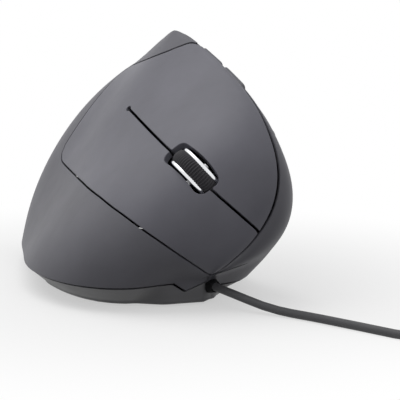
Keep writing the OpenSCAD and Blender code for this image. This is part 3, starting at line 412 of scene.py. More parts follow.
def edge_gap(s):
    """Width of the seam beside the ridge: wide beside the keys, and narrower at the nose and the peak."""
    wide = np.minimum((KEY_GAP_END - s) / KEY_GAP_FADE, (s - NOSE_S) / NOSE_GAP_FADE)
    return SEAM_GAP + (KEY_GAP - SEAM_GAP) * np.clip(wide, 0, 1)


TOOTH_U = 0.06
DIP_END_S, DIP_FADE_S = 0.2, 0.25


def tooth(s):
    """Depth of the V-shaped tooth in the palm shell's lower edge."""
    rise = (s - TOOTH_S[0]) / (TOOTH_S[1] - TOOTH_S[0])
    fall = (TOOTH_S[2] - s) / (TOOTH_S[2] - TOOTH_S[1])
    return TOOTH_DEPTH * np.clip(np.minimum(rise, fall), 0, 1)


def thumb_drop(s):
    """How far the thumb shell's lower edge reaches down at the front."""
    return THUMB_DIP * (1 - ease((s - DIP_END_S) / DIP_FADE_S))


def palm_form(s, u):
    """Surface of the palm shell, whose lower edge has the V-shaped tooth."""
    s, u = np.broadcast_arrays(np.asarray(s, float), np.asarray(u, float))
    down = tooth(s) * np.clip(1 - u / TOOTH_U, 0, 1)
    return skin(s, u) - np.outer(down, [0, 0, 1])


NOSE_SPAN, NOSE_U = 0.04, 0.25
NOSE_SEAM = np.array([0.25, 0, 0])
LIP_U, LIP_SPAN, LIP_POWER = 1.86, 0.14, 1.6


def thumb_form(s, u):
    """Surface of the thumb shell: it closes the nose against the palm shell's front edge, and its lower
    edge reaches down and inwards at the front."""
    s, u = np.broadcast_arrays(np.asarray(s, float), np.asarray(u, float))
    close = ((1 - ease((s - NOSE_S) / NOSE_SPAN)) * ease((u - 1) / NOSE_U))[:, None]
    p = skin(s, u)
    p = p + close * (skin(np.full(len(s), NOSE_S), 2 - u) + NOSE_SEAM - p)
    share = (thumb_drop(s) * np.clip((u - LIP_U) / LIP_SPAN, 0, 1) ** LIP_POWER)[:, None]
    return p - share * (np.array([0, 0, 1]) + DIP_LEAN * through(s, np.full(len(s), 2.0)))


WALL_ENDS, WALL_FADE, WALL_LEAST = (-0.01, 1.005), 0.1, 0.3


def wall_at(s):
    """Wall thickness, thinner towards the nose and the tail."""
    from_end = np.minimum(s - WALL_ENDS[0], WALL_ENDS[1] - s)
    return WALL * np.minimum(1, np.maximum(WALL_LEAST, from_end / WALL_FADE))


def u_step(s, u, d):
    """Change of u that moves a place by d millimetres."""
    return d / np.linalg.norm(slopes(s, u)[1], axis=1)


def s_step(s, u, d):
    """Change of s that moves a place by d millimetres."""
    return d / np.linalg.norm(slopes(s, u)[0], axis=1)


# Face frame at the wheel: X along the slit to the front, Y up the slope, Z out of the face
FACE_S, FACE_U, FACE_ROLL = 0.322, 0.603, math.radians(9)
SLIT_FRONT, SLIT_REAR = (0.26, 0.632), (0.386, 0.6)
FACE_O = skin(FACE_S, FACE_U)[0]
face_n = slopes(FACE_S, FACE_U)[2][0]
slit_run = skin(*SLIT_FRONT)[0] - skin(*SLIT_REAR)[0]
FACE_X = unit(slit_run - face_n * (face_n @ slit_run))
FACE_Z = unit(face_n * math.cos(FACE_ROLL) - np.cross(face_n, FACE_X) * math.sin(FACE_ROLL))
FACE_Y = np.cross(FACE_Z, FACE_X)
FACE_AXES = np.column_stack([FACE_X, FACE_Y, FACE_Z])


S_MOVE, S_RANGE = 0.03, (0.02, 0.95)
U_MOVE, U_RANGE = 0.08, (0.1, 1.05)
FACE_GUESS = (0.33, 0.6)


def in_face(p):
    return (p - FACE_O) @ FACE_AXES


def from_face(x, y, s, u):
    """Places [s, u] whose points lie at x, y in the face frame, found from a first guess."""
    s, u = np.full(len(x), float(s)), np.full(len(x), float(u))
    for _ in range(40):
        q = in_face(skin(s, u))
        ds, du, _ = slopes(s, u)
        a, b = ds @ FACE_AXES, du @ FACE_AXES
        det = a[:, 0] * b[:, 1] - a[:, 1] * b[:, 0]
        ex, ey = x - q[:, 0], y - q[:, 1]
        s_move = np.clip((ex * b[:, 1] - ey * b[:, 0]) / det, -S_MOVE, S_MOVE)
        u_move = np.clip((a[:, 0] * ey - a[:, 1] * ex) / det, -U_MOVE, U_MOVE)
        s = np.clip(s + s_move, *S_RANGE)
        u = np.clip(u + u_move, *U_RANGE)
    return np.column_stack([s, u])


# Closed plates cut out of the surface, with the chart's millimetres for a step of 1 in s and u
CHART = np.array([200.0, 60.0])
ROUND_STEPS = 4


def spaced(points, step=0.8):
    """Resample a stretch of [s, u] places evenly, keeping its two ends."""
    points = np.asarray(points, float)
    p = skin(points[:, 0], points[:, 1])
    run = np.concatenate([[0], np.cumsum(np.linalg.norm(np.diff(p, axis=0), axis=1))])
    n = max(1, int(round(run[-1] / step)))
    at = np.linspace(0, run[-1], n + 1)
    return np.column_stack([np.interp(at, run, points[:, 0]), np.interp(at, run, points[:, 1])])


def joined(*stretches):
    """One closed loop from stretches that follow each other end to end."""
    parts = [spaced(p) for p in stretches]
    loop = np.vstack([p[:-1] for p in parts])
    keep = [0]
    for i in range(1, len(loop)):
        if np.abs(loop[i] - loop[keep[-1]]).max() > 1e-5:
            keep.append(i)
    return loop[keep]


def line(a, b, n=60):
    return np.linspace(a, b, n)


def signed_area(loop):
    x, y = loop[:, 1], loop[:, 0]
    return 0.5 * np.sum(x * np.roll(y, -1) - y * np.roll(x, -1))


def inside(points, loop):
    x, y = points[:, 0], points[:, 1]
    hit = np.zeros(len(points), bool)
    for (x0, y0), (x1, y1) in zip(loop, np.roll(loop, -1, axis=0)):
        cross = (y0 > y) != (y1 > y)
        if cross.any():
            hit ^= cross & (x < x0 + (y - y0) * (x1 - x0) / (y1 - y0 + 1e-15))
    return hit


def shifted(loop, inward, d, form):
    """Move places by d millimetres inwards along the surface."""
    ds, du, _ = slopes(loop[:, 0], loop[:, 1], form)
    b = inward * np.reshape(d, (-1, 1))
    aa, ab, bb = (ds * ds).sum(1), (ds * du).sum(1), (du * du).sum(1)
    pa, pb = (b * ds).sum(1), (b * du).sum(1)
    det = aa * bb - ab * ab
    return loop + np.column_stack([(pa * bb - pb * ab) / det, (pb * aa - pa * ab) / det])


def inner_places(loops, step):
    """Places spread evenly inside the first loop and outside the others, clear of all of them."""
    low, high = loops[0].min(axis=0), loops[0].max(axis=0)
    rows = []
    for s in np.arange(low[0], high[0], step / CHART[0]):
        u = np.linspace(low[1], high[1], 160)
        p = skin(np.full_like(u, s), u)
        run = np.concatenate([[0], np.cumsum(np.linalg.norm(np.diff(p, axis=0), axis=1))])
        at = np.interp(np.arange(0.5 * step, run[-1], step), run, u)
        rows.append(np.column_stack([np.full_like(at, s), at]))
    places = np.vstack(rows)
    places = places[inside(places, loops[0])]
    for hole in loops[1:]:
        places = places[~inside(places, hole)]
    p = skin(places[:, 0], places[:, 1])
    edge = np.vstack([skin(q[:, 0], q[:, 1]) for q in loops])
    near = np.full(len(p), np.inf)
    for chunk in np.array_split(edge, max(1, len(edge) // 40)):
        near = np.minimum(near, np.linalg.norm(p[:, None] - chunk[None], axis=2).min(axis=1))
    return places[near > 0.6 * step]


def fill_region(loops, step):
    """Places and triangles inside the first loop and outside the others. The loops' places come first."""
    flat = np.vstack(loops + [inner_places(loops, step)])
    pairs, start = [], 0
    for q in loops:
        pairs += [(start + i, start + (i + 1) % len(q)) for i in range(len(q))]
        start += len(q)
    chart = [Vector(v) for v in flat * CHART]
    out_v, _, out_f, *_ = delaunay_2d_cdt(chart, pairs, [], 0, 1e-7)
    flat = np.array([v[:] for v in out_v]) / CHART
    tri = np.array(out_f)
    mid = flat[tri].mean(axis=1)
    keep = inside(mid, loops[0])
    for hole in loops[1:]:
        keep &= ~inside(mid, hole)
    tri = tri[keep]
    a, b, c = (flat[tri[:, i]] for i in range(3))
    area = (b[:, 1] - a[:, 1]) * (c[:, 0] - a[:, 0]) - (b[:, 0] - a[:, 0]) * (c[:, 1] - a[:, 1])
    return flat, np.where((area > 0)[:, None], tri, tri[:, ::-1])


def plate(name, loops, mat, radius=0.22, depth=None, lift=0.0, step=1.3, form=skin, **kw):
    """Closed plate over the region between loops, with rounded edges and its own inner face, which is
    painted dark as painted shade.
    radius, depth and lift may be functions of s and u; form is the surface that it lies on."""
    depth = (lambda s, u: wall_at(s)) if depth is None else depth
    turned = [q if (signed_area(q) > 0) == (i == 0) else q[::-1] for i, q in enumerate(loops)]
    verts, normals, faces, painted_shade_faces = [], [], [], []

    def value(f, q):
        return np.broadcast_to(f(q[:, 0], q[:, 1]) if callable(f) else float(f), len(q))

    def add(points, normal):
        start = sum(len(v) for v in verts)
        verts.append(points)
        normals.append(normal)
        return start

    def top(q):
        n = slopes(q[:, 0], q[:, 1], form)[2]
        return form(q[:, 0], q[:, 1]) + n * value(lift, q)[:, None], n

    def under(q):
        return form(q[:, 0], q[:, 1]) - through(q[:, 0], q[:, 1]) * value(depth, q)[:, None]

    rims, edges_in = [], []
    for q in turned:
        p = form(q[:, 0], q[:, 1])
        n = slopes(q[:, 0], q[:, 1], form)[2]
        along = unit(np.roll(p, -1, axis=0) - np.roll(p, 1, axis=0))
        inward = unit(np.cross(n, along))
        r = value(radius, q)
        rims.append((q, n, inward, r))
        edges_in.append(shifted(q, inward, r, form))
    flat, tri = fill_region(edges_in, step)
    p, n = top(flat)
    outer = add(p, n)
    faces += (tri + outer).tolist()
    inner = add(under(flat), -n)
    # The inner face is painted in the dark material as painted shade.
    painted_shade_faces += (tri[:, ::-1] + inner).tolist()

    start = 0
    for q, n, inward, r in rims:
        m = len(q)
        upper = outer + start + np.arange(m)
        lower = inner + start + np.arange(m)
        for k in range(ROUND_STEPS, -1, -1):
            t = 0.5 * math.pi * k / ROUND_STEPS
            place = shifted(q, inward, r * (1 - math.cos(t)), form)
            p, _ = top(place)
            ring = add(p - n * (r * (1 - math.sin(t)))[:, None], n * math.sin(t) - inward * math.cos(t))
            ring = ring + np.arange(m)
            faces += [(upper[i], ring[i], ring[(i + 1) % m], upper[(i + 1) % m]) for i in range(m)]
            upper = ring
        bottom = add(under(q), -inward) + np.arange(m)
        # The edge walls down to the inner face are painted dark as painted shade in the seams, windows and
        # wheel slot.
        for a, b in ((upper, bottom), (bottom, lower)):
            painted_shade_faces += [(a[i], b[i], b[(i + 1) % m], a[(i + 1) % m]) for i in range(m)]
        start += m
    return add_mesh(name, np.vstack(verts), faces, mat, np.vstack(normals), painted_shade_faces=painted_shade_faces, **kw)


half = SEAM_GAP / 2
s_all = np.linspace(NOSE_S, TAIL_S, 400)


def beside(seam, s, sign):
    """Edge of a piece along a seam, half the gap away from the seam's middle."""
    u = seam(s)
    ds, du, n = slopes(s, u)
    rise = (seam(s + PROBE) - seam(s - PROBE)) / (2 * PROBE)
    along = unit(ds + du * rise[:, None])
    return shifted(np.column_stack([s, u]), np.cross(along, n), sign * half * np.ones(len(s)), skin)


def along_low(s, sign):
    return beside(panel_low, s, sign)


def along_high(s, sign):
    return beside(panel_high, s, sign)


def along_ridge(s, sign):
    gap = np.where(s < PEAK_S, edge_gap(s), SEAM_GAP) / 2
    middle = smooth_lookup(RIDGE_SEAM, s)
    return np.column_stack([s, middle + sign * u_step(s, middle, gap)])


# Palm shell: below the panel, behind it and up to the ridge
PEAK_BACK = 0.012
peak = PEAK_S + PEAK_BACK
rear_half = s_step(np.array([REAR_S]), np.array([REAR_U]), half)[0]
rear = REAR_S + rear_half
front_low = np.linspace(NOSE_S, SEAM_END, 500)
high_run = np.linspace(peak, SEAM_END, 300)
low_edge, high_edge = along_low(front_low, -1), along_high(high_run, 1)
high_edge[:, 1] = np.minimum(high_edge[:, 1], along_ridge(high_run, -1)[:, 1])
ridge_edge = along_ridge(np.linspace(TAIL_S, peak, 300), -1)
palm_loop = joined(
    line([TOOTH_S[0], 0], [TOOTH_S[1], 0]),
    line([TOOTH_S[1], 0], [TOOTH_S[2], 0]),
    line([TOOTH_S[2], 0], [TAIL_S, 0], 400),
    line([TAIL_S, 0], ridge_edge[0]),
    ridge_edge,
    np.vstack([ridge_edge[-1], high_edge]),
    np.vstack([high_edge[-1], [rear, high_edge[-1][1]], [rear, low_edge[-1][1]], low_edge[-1]]),
    low_edge[::-1],
    line(low_edge[0], [NOSE_S, 0]),
)
palm = plate("palm_shell_skin", [palm_loop], SHELL, form=palm_form, slot="shell_plastic")
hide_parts("palm_shell")

# Thumb shell with windows for its buttons
THUMB_ROWS, DPI_ROWS = (1.05, 1.2), (1.13, 1.2)
FORWARD_SPAN, BACK_SPAN, DPI_SPAN = (0.43, 0.481), (0.489, 0.54), (0.345, 0.378)
CAP_ROUND, CAP_STEP = 0.5, 0.8


def window(span, rows, grow, corner=1.1, straight=0.2):
    """Rounded loop round a button, grown by so many millimetres."""
    mid = np.array([(span[0] + span[1]) / 2]), np.array([(rows[0] + rows[1]) / 2])
    per_s = 1 / s_step(*mid, 1.0)[0]
    per_u = 1 / u_step(*mid, 1.0)[0]
    hx = (span[1] - span[0]) / 2 * per_s + grow
    hy = (rows[1] - rows[0]) / 2 * per_u + grow
    c = min(corner + grow, hx - straight, hy - straight)
    turn = np.linspace(0, 2 * math.pi, 64, endpoint=False)
    x = np.sign(np.cos(turn)) * (hx - c) + c * np.cos(turn)
    y = np.sign(np.sin(turn)) * (hy - c) + c * np.sin(turn)
    loop = np.column_stack([mid[0] + x / per_s, mid[1] + y / per_u])
    return spaced(np.vstack([loop, loop[:1]]), 0.6)[:-1]


thumb_top = along_ridge(s_all, 1)
thumb_loop = joined(
    thumb_top,
    line(thumb_top[-1], [TAIL_S, 2]),
    line([TAIL_S, 2], [NOSE_S, 2], 400),
    line([NOSE_S, 2], thumb_top[0]),
)
BUTTONS = {
    "forward": (FORWARD_SPAN, THUMB_ROWS, THUMB_RISE),
    "back": (BACK_SPAN, THUMB_ROWS, THUMB_RISE),
    "dpi": (DPI_SPAN, DPI_ROWS, DPI_RISE),
}
windows = [window(span, rows, THUMB_GAP) for span, rows, _ in BUTTONS.values()]
thumb = plate("thumb_shell_skin", [thumb_loop] + windows, SHELL, form=thumb_form, slot="shell_plastic")
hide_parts("thumb_shell")
for key, (span, rows, rise) in BUTTONS.items():
    button = plate(key + "_button_cap", [window(span, rows, 0.0)], SHELL, radius=CAP_ROUND,
                   depth=THUMB_DEPTH, lift=rise, step=CAP_STEP, body=key + "_key", slot="shell_plastic")
    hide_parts(key + "_button")

# Button panel: two keys divided by the slit and the wheel slot, and the plate that they flex from
WHEEL_R = WHEEL_D / 2
WHEEL_Z = WHEEL_RISE - WHEEL_R
SLOT_L = 2 * math.sqrt(WHEEL_R ** 2 - (WHEEL_Z + WALL) ** 2) + 2 * SLOT_END
SLOT_W = TYRE_W + 2 * RIM_W + 2 * SLOT_SIDE
SLOT_CORNER = 2.4
HEAD_R = 0.95
SLIT_RUN = 16
SLIT_BEND = np.array([
    [-50, 0.45], [-41, 0.17], [-32, -0.19], [-23.5, -0.47], [-14.5, -0.68], [-9, -0.68], [9, -0.2],
    [12, 0.12], [15, 0.6], [18, 1.15], [22, 2.3], [26, 3.8],
])
KEY_ROUND, FLEX_SHARP, FLEX_FADE = 0.2, 2e-4, 0.008
RIDGE_STOP = 0.003
hinge_line_x = in_face(skin(HINGE_S, HINGE_U))[0][0]


def bend(x):
    """How far the middle of the slit lies above the wheel's middle line."""
    return float(np.interp(x, *SLIT_BEND.T))


def slit_edge(sign):
    """Key edge in the face frame from the slit's head to its front end, round half of the wheel slot."""
    w = sign * SLIT_W / 2
    b, c = SLOT_W / 2, SLOT_CORNER
    rear_end, front_end = (-SLOT_L - SLOT_BACK) / 2, (SLOT_L - SLOT_BACK) / 2
    head = hinge_line_x + HEAD_R
    turn = np.linspace(math.pi, math.asin(SLIT_W / 2 / HEAD_R), 16)
    pts = [(head + HEAD_R * math.cos(t), sign * HEAD_R * math.sin(t) + bend(head)) for t in turn]
    pts += [(x, w + bend(x)) for x in np.linspace(pts[-1][0], rear_end, 40)[1:]]
    for centre, turn_from in (((rear_end + c, b - c), math.pi), ((front_end - c, b - c), math.pi / 2)):
        pts += [(centre[0] + c * math.cos(turn_from - t), sign * (centre[1] + c * math.sin(turn_from - t)))
                for t in np.linspace(0, math.pi / 2, 12)]
    pts += [(x, w + bend(x)) for x in np.linspace(front_end, front_end + SLIT_RUN, 44)]
    return np.array(pts)


def key_edge(sign):
    """Places [s, u] of a key's slit edge, up to the seam beside the ridge."""
    pts = slit_edge(sign)
    places = from_face(pts[:, 0], pts[:, 1], *FACE_GUESS)
    limit = along_ridge(places[:, 0], -1)[:, 1]
    over = np.nonzero(places[:, 1] >= limit)[0]
    return places[:over[0]] if len(over) else places


def key_radius(s, u):
    """Edge rounding of the keys and their plate, none at the flex line, where they are one moulding."""
    return KEY_ROUND * np.clip((np.abs(s - HINGE_S) - FLEX_SHARP) / FLEX_FADE, 0, 1)


def ridge_meet(edge):
    """Where a key's slit edge, carried on, meets the ridge seam."""
    step = edge[-1] - edge[-2]
    at = edge[-1].copy()
    while at[1] < along_ridge(at[:1], -1)[0, 1]:
        at = at + 0.02 * step
    return at


left_edge, right_edge = key_edge(1), key_edge(-1)
left_meet, right_meet = ridge_meet(left_edge), ridge_meet(right_edge)
low_front = along_low(np.linspace(KEY_NOSE_S, HINGE_S, 300), 1)
high_at_hinge = along_high(np.linspace(PEAK_S, HINGE_S, 60), -1)
ridge_left = along_ridge(np.linspace(left_meet[0], high_at_hinge[0, 0] - RIDGE_STOP, 200), -1)
ridge_right = along_ridge(np.linspace(KEY_NOSE_S, right_meet[0], 120), -1)
left_head, right_head = left_edge[0].copy(), right_edge[0].copy()
left_head[0] = right_head[0] = HINGE_S
left_loop = joined(
    np.vstack([left_head, left_edge[1:], ridge_left[0]]),
    ridge_left,
    np.vstack([ridge_left[-1], high_at_hinge]),
    line(high_at_hinge[-1], left_head),
)
right_loop = joined(
    np.vstack([right_head, right_edge[1:], ridge_right[-1]]),
    ridge_right[::-1],
    line(ridge_right[0], low_front[0]),
    low_front,
    line(low_front[-1], right_head),
)
left_key = plate("left_key_skin", [left_loop], PANEL, radius=key_radius, body=None, slot="panel_plastic")
right_key = plate("right_key_skin", [right_loop], PANEL, radius=key_radius, body=None, slot="panel_plastic")
low_rear = along_low(np.linspace(HINGE_S, SEAM_END, 300), 1)
high_rear = along_high(np.linspace(HINGE_S, SEAM_END, 300), -1)
plate_end = REAR_S - rear_half
low_rear[:, 0] = np.minimum(low_rear[:, 0], plate_end)
high_rear[:, 0] = np.minimum(high_rear[:, 0], plate_end)
plate_loop = joined(
    low_rear,
    line(low_rear[-1], high_rear[-1]),
    high_rear[::-1],
    line(high_rear[0], left_head),
    line(left_head, right_head),
    line(right_head, low_rear[0]),
)
rear_plate = plate("button_plate_skin", [plate_loop], PANEL, radius=key_radius, slot="panel_plastic")
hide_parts("button_plate")
key_bodies = ((left_key, "left_key", "left_button"), (right_key, "right_key", "right_button"))
for key, body, node_name in key_bodies:
    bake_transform(key)
    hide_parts(node_name)

# Base: a dish whose flank falls away under the shells
BASE_STEPS = 30
LAST_S = 0.985
SMOOTH_WIDTH = 9
BASE_GAP, BASE_FLOOR, BASE_DECK = 0.4, 0.6, 2.2
FOOT_EDGE = [(2.2, 0), (1.2, 0), (0.6, 0.1), (0.15, 0.45), (-0.15, 0.9)]
FLANK_Z, FLANK_IN, FLANK_BULGE = 0.8, 0.75, 1.06
RIM_EDGE = [(0.85, -0.12), (0.98, 0), (0.7 + WALL, 0), (0.9 + WALL, -0.2)]


def inward_at(places, coarse, inward):
    """Inward directions at close places, smoothed between those of the part's coarser loop."""
    fine = np.column_stack([np.interp(places, coarse, inward[:, k]) for k in range(3)])
    padded = np.vstack([fine[:1]] * SMOOTH_WIDTH + [fine] + [fine[-1:]] * SMOOTH_WIDTH)
    kernel = np.hanning(2 * SMOOTH_WIDTH + 3)[1:-1]
    kernel = kernel / kernel.sum()
    return unit(np.column_stack([np.convolve(padded[:, k], kernel, "valid") for k in range(3)]))


PALM_INSET = np.array([
    [0, 1.2], [0.06, 1.2], [0.1, 2], [0.126, 4.5], [0.154, 7.2], [0.2, 8.4], [0.3, 9], [0.4, 8.4],
    [0.473, 7.4], [0.522, 6.4], [0.61, 6], [0.7, 6.5], [0.8, 7.5], [1, 7.5],
])
THUMB_INSET = np.array([[0, 1.5], [0.04, 2.5], [0.08, 5], [0.14, 7.5], [1, 7.5]])


def base_loop():
    """Points round the rim, their inward directions, how far the rim dips and leans in there, and how far
    in the lower edge of the flank lies."""
    a, b, c = TOOTH_S
    palm_s = np.concatenate([[a, b], np.linspace(c, LAST_S, BASE_STEPS - 1)])
    thumb_s = np.linspace(LAST_S, a, BASE_STEPS + 1)
    p = np.vstack([curve(PALM_RIM, palm_s), curve(THUMB_RIM, thumb_s)])
    d = np.roll(p, -3, axis=0) - np.roll(p, 3, axis=0)
    coarse = unit(np.column_stack([d[:, 1], -d[:, 0], np.zeros(len(p))]))
    on_palm = np.concatenate([
        np.linspace(a, b, 9)[:-1], np.linspace(b, c, 7)[:-1], np.linspace(c, LAST_S, 170),
    ])
    on_thumb = np.linspace(LAST_S, a, 180)
    split = len(palm_s)
    inward = np.vstack([
        inward_at(on_palm, palm_s, coarse[:split]),
        inward_at(on_thumb[::-1], thumb_s[::-1], coarse[split:][::-1])[::-1],
    ])
    points = np.vstack([curve(PALM_RIM, on_palm), curve(THUMB_RIM, on_thumb)])
    drop = thumb_drop(on_thumb)
    dip = np.concatenate([tooth(on_palm), drop])
    lean = np.concatenate([np.zeros(len(on_palm)), DIP_LEAN * drop])
    foot = np.concatenate([smooth_lookup(PALM_INSET, on_palm), smooth_lookup(THUMB_INSET, on_thumb)])
    return points, inward, dip, lean, foot


def make_base():
    """Dish lofted through rings of (share of the foot's inset, inset, height, share of the rim's dip)."""
    p, inward, dip, lean, foot = base_loop()
    rim_z = SEAM_HEIGHT - BASE_GAP
    flank_z = BASE_FLOOR + FLANK_Z
    profile = [(1, inset, BASE_FLOOR + rise, 0) for inset, rise in FOOT_EDGE]
    for t in np.linspace(0.12, 0.94, 9):
        low_share = (1 - t) ** FLANK_BULGE
        profile.append((low_share, FLANK_IN * (1 - low_share), flank_z + (rim_z - flank_z) * t, t))
    profile += [(0, inset, rim_z + rise, 1) for inset, rise in RIM_EDGE]
    profile += [(1, inset, BASE_DECK, 0) for inset in (WALL, WALL + 1)]

    def ring(low_share, inset, z, share):
        side = inward * (low_share * foot + inset + share * lean)[:, None]
        return p * [1, 1, 0] + side + np.outer(z - share * dip, [0, 0, 1])

    rings = [ring(*row) for row in profile]
    m = len(rings[0])
    faces = []
    for k in range(len(rings) - 1):
        for i in range(m):
            j = (i + 1) % m
            faces.append((k * m + i, (k + 1) * m + i, (k + 1) * m + j, k * m + j))
    faces.append(list(range(m)))
    last = (len(rings) - 1) * m
    faces.append([last + i for i in range(m)][::-1])
    return add_mesh("base_dish", np.vstack(rings), faces, BASE, slot="base_plastic")


base = make_base()
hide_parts("base_tray")


# Wheel: crowned tyre with fine ribs between two bright rims
RIB_COUNT = 64
RIB_PHASE = np.array([0.0, 0.16, 0.28, 0.5, 0.72, 0.84])
RIB_DROP = np.array([0.0, 0.0, 0.3, 0.42, 0.3, 0.0])
CROWN_DROP, SHOULDER_DROP, TYRE_DEPTH = 0.55, 0.25, 2.4
RIM_IN, RIM_OUT, RIM_BEAD = 2.5, 0.75, 0.55
WHEEL_O = FACE_O + FACE_Z * WHEEL_Z


def wheel_point(angle, radius, across):
    turn = np.outer(np.cos(angle), FACE_Z) + np.outer(np.sin(angle), FACE_X)
    return WHEEL_O + radius[:, None] * turn + across[:, None] * FACE_Y


def revolve(name, profile, angle, mat, bulge=None, **kw):
    """Closed ring turned about the wheel's axis from a closed profile of [radius, across] points."""
    n, m = len(angle), len(profile)
    verts, faces = [], []
    for i, a in enumerate(angle):
        r, y = profile[:, 0].copy(), profile[:, 1]
        if bulge is not None:
            r = r + bulge(i, profile)
        verts.append(wheel_point(np.full(m, a), r, y))
        j = (i + 1) % n
        faces += [(i * m + k, j * m + k, j * m + (k + 1) % m, i * m + (k + 1) % m) for k in range(m)]
    return add_mesh(name, np.vstack(verts), faces, mat, **kw)


def make_wheel():
    y = np.linspace(-TYRE_W / 2, TYRE_W / 2, 15)
    crown = WHEEL_R - CROWN_DROP * (2 * y / TYRE_W) ** 2 - SHOULDER_DROP * (2 * y / TYRE_W) ** 8
    tread = np.column_stack([crown, y])
    bed = WHEEL_R - TYRE_DEPTH
    tyre = np.vstack([tread, [[bed, TYRE_W / 2], [bed, -TYRE_W / 2]]])
    angle = np.concatenate([2 * math.pi * (i + RIB_PHASE) / RIB_COUNT for i in range(RIB_COUNT)])
    depth = np.tile(RIB_DROP, RIB_COUNT)
    on_tread = np.zeros(len(tyre))
    on_tread[1:len(tread) - 1] = 1

    def groove(i, profile):
        return -depth[i] * on_tread

    obj = revolve("wheel_tread", tyre, angle, RUBBER, groove, body="wheel", slot="rubber")
    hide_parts("wheel_tyre")
    smooth_angle = np.linspace(0, 2 * math.pi, 160, endpoint=False)
    for side in (-1, 1):
        a, b = TYRE_W / 2, TYRE_W / 2 + RIM_W
        r0, r1 = WHEEL_R - RIM_IN, WHEEL_R - RIM_OUT
        c = RIM_BEAD
        bead = [(r1 - c + c * math.cos(t), b - c + c * math.sin(t)) for t in np.linspace(0, math.pi / 2, 7)]
        prof = np.array([(r0, a), (r1, a)] + bead + [(r0 + 0.5, b), (r0, b - 0.3)])
        prof[:, 1] *= side
        revolve(f"wheel_rim_{'a' if side < 0 else 'b'}", prof[::side], smooth_angle, CHROME,
                            body="wheel", slot="bright_metal")
    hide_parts("wheel_rims")


make_wheel()


# Cable: the route of the part's source, then its coil, as one curve
ROUTE = np.array([
    [7.5, -50.02, 5.4], [7.5, -51, 5.4], [8, -54, 5.2], [9.4, -57.6, 4.6], [11.6, -61.3, 3.6],
    [14.4, -65, 2.4], [17.2, -68.8, 1.6], [19.4, -72.4, 1.3], [21.5, -77, 1.3], [23.6, -82, 1.3],
    [25.7, -87.5, 1.3], [27.8, -93, 1.3], [29.8, -98.5, 1.3], [31.8, -104, 1.3], [33.6, -109.2, 1.6],
    [35.1, -113.7, 2.1], [36.3, -117.3, 2.5], [37.3, -120.3, 2.5],
])
COIL_D, LAYER_TURNS, COIL_STEP, LAYER_H = 35.0, 2.75, 3.4, 3.0
COIL_LAYERS, CLIMB_TURNS, LIFT_TURNS, TAIL_R = 4, 0.5, 0.2, 13.0
LOOP_RINGS = 24
PLUG_H, PLUG_GAP = 7.0, 0.25


def coil_path():
    """Points of the put-away coil, layer upon layer, and of its tail into the plug."""
    turns = COIL_LAYERS * LAYER_TURNS + (COIL_LAYERS - 1) * CLIMB_TURNS
    r_in = (COIL_D - LAYER_TURNS * COIL_STEP) / 2
    r_out = r_in + LAYER_TURNS * COIL_STEP
    end = ROUTE[-1]
    d = unit(ROUTE[-1] - ROUTE[-2])
    start = math.atan2(-d[0], d[1])
    centre = end + CABLE_D * d - r_out * np.array([math.cos(start), math.sin(start), 0])
    top = (COIL_LAYERS - 1) * LAYER_H
    plug_up = top + CABLE_D / 2 + PLUG_GAP + PLUG_H / 2
    t = np.linspace(0, turns, int(round(turns * LOOP_RINGS)) + 1)
    block = LAYER_TURNS + CLIMB_TURNS
    k = np.minimum(np.floor(t / block), COIL_LAYERS - 1)
    f = t - k * block
    turn = np.minimum(f, LAYER_TURNS) * COIL_STEP
    r = np.where(k % 2 == 0, r_out - turn, r_in + turn)
    z = (k + ease((f - LAYER_TURNS) / CLIMB_TURNS)) * LAYER_H
    z = z + ease((t - turns + LIFT_TURNS) / LIFT_TURNS) * (plug_up - top)
    a = start + 2 * math.pi * t
    coil = centre + np.column_stack([r * np.cos(a), r * np.sin(a), z])
    end_a = start + 2 * math.pi * turns
    rho = np.array([math.cos(end_a), math.sin(end_a), 0])
    tau = np.array([-rho[1], rho[0], 0])
    tail_centre = centre + (r_out - TAIL_R) * rho + np.array([0, 0, plug_up])
    arc = np.radians(np.arange(15, 91, 15))
    tail = tail_centre + TAIL_R * (np.outer(np.cos(arc), rho) + np.outer(np.sin(arc), tau))
    return np.vstack([coil, tail, tail_centre + TAIL_R * tau - CABLE_D * rho])


def make_cable():
    path = np.vstack([ROUTE, coil_path()])
    data = bpy.data.curves.new("cable_line", "CURVE")
    data.dimensions = "3D"
    data.bevel_depth = CABLE_D / 2 * MM
    data.bevel_resolution = 5
    data.use_fill_caps = True
    spline = data.splines.new("POLY")
    spline.points.add(len(path) - 1)
    spline.points.foreach_set("co", np.column_stack([path * MM, np.ones(len(path))]).ravel())
    spline.use_smooth = True
    obj = bpy.data.objects.new("cable_line", data)
    scene.collection.objects.link(obj)
    obj.data.materials.append(JACKET)
    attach(obj, "housing")
    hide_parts("cable", "cable_coil")


make_cable()


# Studio: pale floor, one softbox overhead and an even surround, in metres
FLOOR_SIZE = 6.0
FLOOR_BOUNCE = (0.2, 0.2, 0.2, 1)
FLOOR_PALE = (0.95, 0.95, 0.95), (0.97, 0.97, 0.97)
FLOOR_FADE = {"From Min": 0.05, "From Max": 0.15, "To Min": 0.5, "To Max": 1.0}
WORLD_LIGHT = 0.55
LAMP_PLACE, LAMP_AIM = (-0.07, 0.03, 0.25), (0.0, 0.0, 0.03)
LAMP_SIZE, LAMP_POWER = 0.25, 0.28


def light_path_mix(tree):
    """1 for camera, glossy and transmission rays, 0 for the light that falls on the object."""
    path = tree.nodes.new("ShaderNodeLightPath")
    last = path.outputs["Is Camera Ray"]
    for name in ("Is Glossy Ray", "Is Transmission Ray"):
        node = tree.nodes.new("ShaderNodeMath")
        node.operation = "MAXIMUM"
        tree.links.new(last, node.inputs[0])
        tree.links.new(path.outputs[name], node.inputs[1])
        last = node.outputs[0]
    return last


